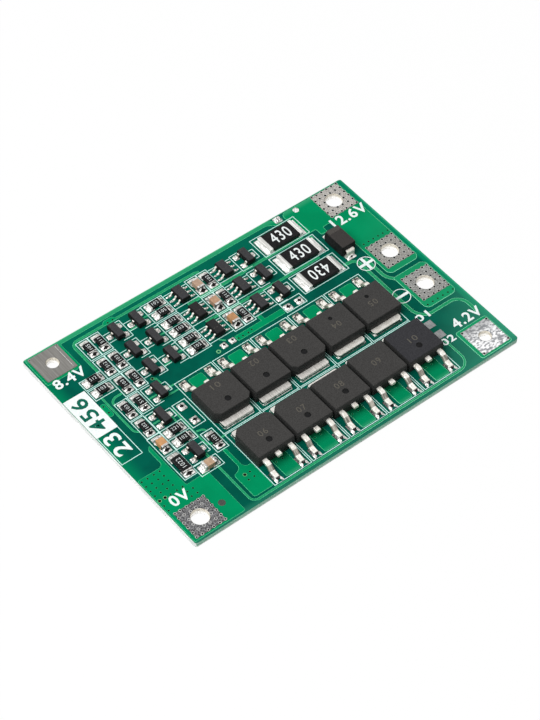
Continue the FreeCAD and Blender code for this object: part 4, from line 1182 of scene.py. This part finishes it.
def make_mosfet_body(number, box, place):
    """A moulded body with an ejector dimple and a faint number. The leads leave at its rear, the tab at its front."""
    width, depth, height = spans(box)
    side, end, height = width / 2, depth / 2, height - MARK_HIGH
    cut = 0.8 if number in CUT_CORNERS else 0.15
    outline = [(-side, end), (-side, -end + cut), (-side + cut, -end), (side - cut, -end), (side, -end + cut),
               (side, end)]
    soft = [0.18, 0.12, 0.12, 0.12, 0.12, 0.18]
    shape = Shape()
    levels = [(0.0, 0.11), (PARTING - 0.02, 0.0), (PARTING + 0.02, 0.0), (height - 0.1, 0.1), (height, LID_INSET)]
    # The sides take a darker copy of the top: painted shade.
    shape.stack(outline, levels, 1, place, top=False, bands=[1, 1, 1, 0], radius=soft)
    loops = [rounded(inset(outline, LID_INSET), [size - LID_INSET * 0.6 for size in soft], 3)]
    hole_y, hole_radius = DIMPLES.get(number, (0, 0))
    if hole_radius:
        hole = disc(hole_radius, (0, hole_y), 28)
        loops.append(hole[::-1])
        deep = [(x, y, height - 0.12) for x, y in inset(hole, 0.03)]
        shape.loft([deep, [(x, y, height) for x, y in hole]], 1, place, bottom=False, top=False)
        # The dimple's floor takes the darkest finish: painted shade in the recess.
        shape.add(deep, [list(range(len(hole)))], 2, place)
    shape.plate(loops, height, height, place=place)
    mark_y = 0.2 - math.copysign(0.9, hole_y or 1)
    heights = (height - 0.002, height + MARK_HIGH)
    shape.letters(f"{number:02d}", -0.75, 0.75, mark_y, mark_y + 1.0, *heights, 2, 0.0, 3, place)
    if number == DRAWN_IN:
        # its upper rear edge is drawn in, and the tab shows behind it
        above, behind = box[2] + PARTING + 0.1, middle(box)[1] + 2
        shape.points = [(x, y - DRAWN_IN_BY if z > above and y > behind else y, z) for x, y, z in shape.points]
    top = MOULD_BLUE if number == 10 else MOULD
    finishes = [top, MOULD_SIDE_PAINTED_SHADE, CHIP_SIDE_PAINTED_SHADE, MARK]
    shape.piece(f"mosfet_mould_{number}", finishes, [f"mosfet_body_{number}"], "moulded_plastic", smooth=30)


def make_mosfet_metal(number, end, place):
    """The tab, the two long leads with their solder, and the cut lead of a power transistor."""
    shape = Shape()
    tab_top, metal, solder, dark, steep, grey, mask, tab_side = range(8)
    slant = 0.42 if number in SMOOTH_TABS else 0.2
    tab = [(-TAB_HALF, -1.0), (-TAB_HALF, -TAB_REACH + slant), (-TAB_HALF + slant, -TAB_REACH),
           (TAB_HALF - slant, -TAB_REACH), (TAB_HALF, -TAB_REACH + slant), (TAB_HALF, -1.0)]
    levels = [(0, 0.0), (LEAD_METAL - 0.08, 0.0), (LEAD_METAL, 0.06)]
    shape.stack(tab, levels, tab_side, place, top_finish=tab_top, bands=[tab_side, tab_top], radius=0.08)
    lower_row = number > 5
    short = 0 if lower_row else 0.26
    for lead_side in (-LEAD_PLACE, LEAD_PLACE):
        spot = place @ placed(lead_side, 0, 0)
        points = [(end - 0.2, PARTING), (end + 0.95 - short / 3, PARTING), (4.9 - short, LEAD_METAL / 2),
                  (6.0 - short, LEAD_METAL / 2)]
        # The steep parts take the darker lead metal: painted shade.
        shape.strap(bend_path(points, 0.42, 7), LEAD_WIDTH, LEAD_METAL, metal, spot, steep=steep)
        # Under the lower transistors' leads the solder is grey: painted shade.
        under, rough = (grey, 0.2) if lower_row else (solder, 0.6)
        shape.pillow(0.96, 1.5, 0.3, spot @ placed(0, 5.6 - short, SUNK), under, None, 0.5, False, rough)
        if lower_row:
            # The foot's dark hollow is painted shadow and reflection.
            shape.foot(1.34, 0.98, 0.42, spot @ placed(0, 6.2, 0.0), solder, dark, mask)
        else:
            # The fillet's grey star is painted dark reflection.
            shape.pillow(1.2, 0.98, 0.45, spot @ placed(0, 6.02, 0.0), solder, grey, 1.0, True, 0.6, 2.5)
    stub = [(end - 0.2, PARTING), (end + 0.35, PARTING), (end + 0.74, PARTING)]
    shape.strap(stub, 0.82, LEAD_METAL, metal, place, 0.06)
    finishes = [TAB_SMOOTH_PAINTED_HIGHLIGHT if number in SMOOTH_TABS else TAB, METAL, SOLDER if lower_row else SOLDER_WARM,
                SOLDER_PAINTED_SHADOW_AND_REFLECTION, METAL_STEEP_PAINTED_SHADE, SOLDER_GREY, MASK, TAB_SIDE]
    shape.piece(f"mosfet_metal_{number}", finishes, [f"mosfet_frame_{number}"], "tinned_copper", smooth=35)


def make_mosfet(number):
    box = corners(f"mosfet_body_{number}")
    place = seat(box, 180 if number > 5 else 0)
    make_mosfet_body(number, box, place)
    make_mosfet_metal(number, spans(box)[1] / 2, place)


make_board()
make_underside()
make_copper()
make_print()
make_vias()
for terminal_node, hole_radius in TERMINALS.items():
    make_terminal(terminal_node, hole_radius)
make_lands()
make_small_chips()
make_capacitors()
make_balance()
make_packages()
make_diode()
for mosfet_number in range(1, 11):
    make_mosfet(mosfet_number)

bpy.context.scene.view_settings.view_transform = "Standard"
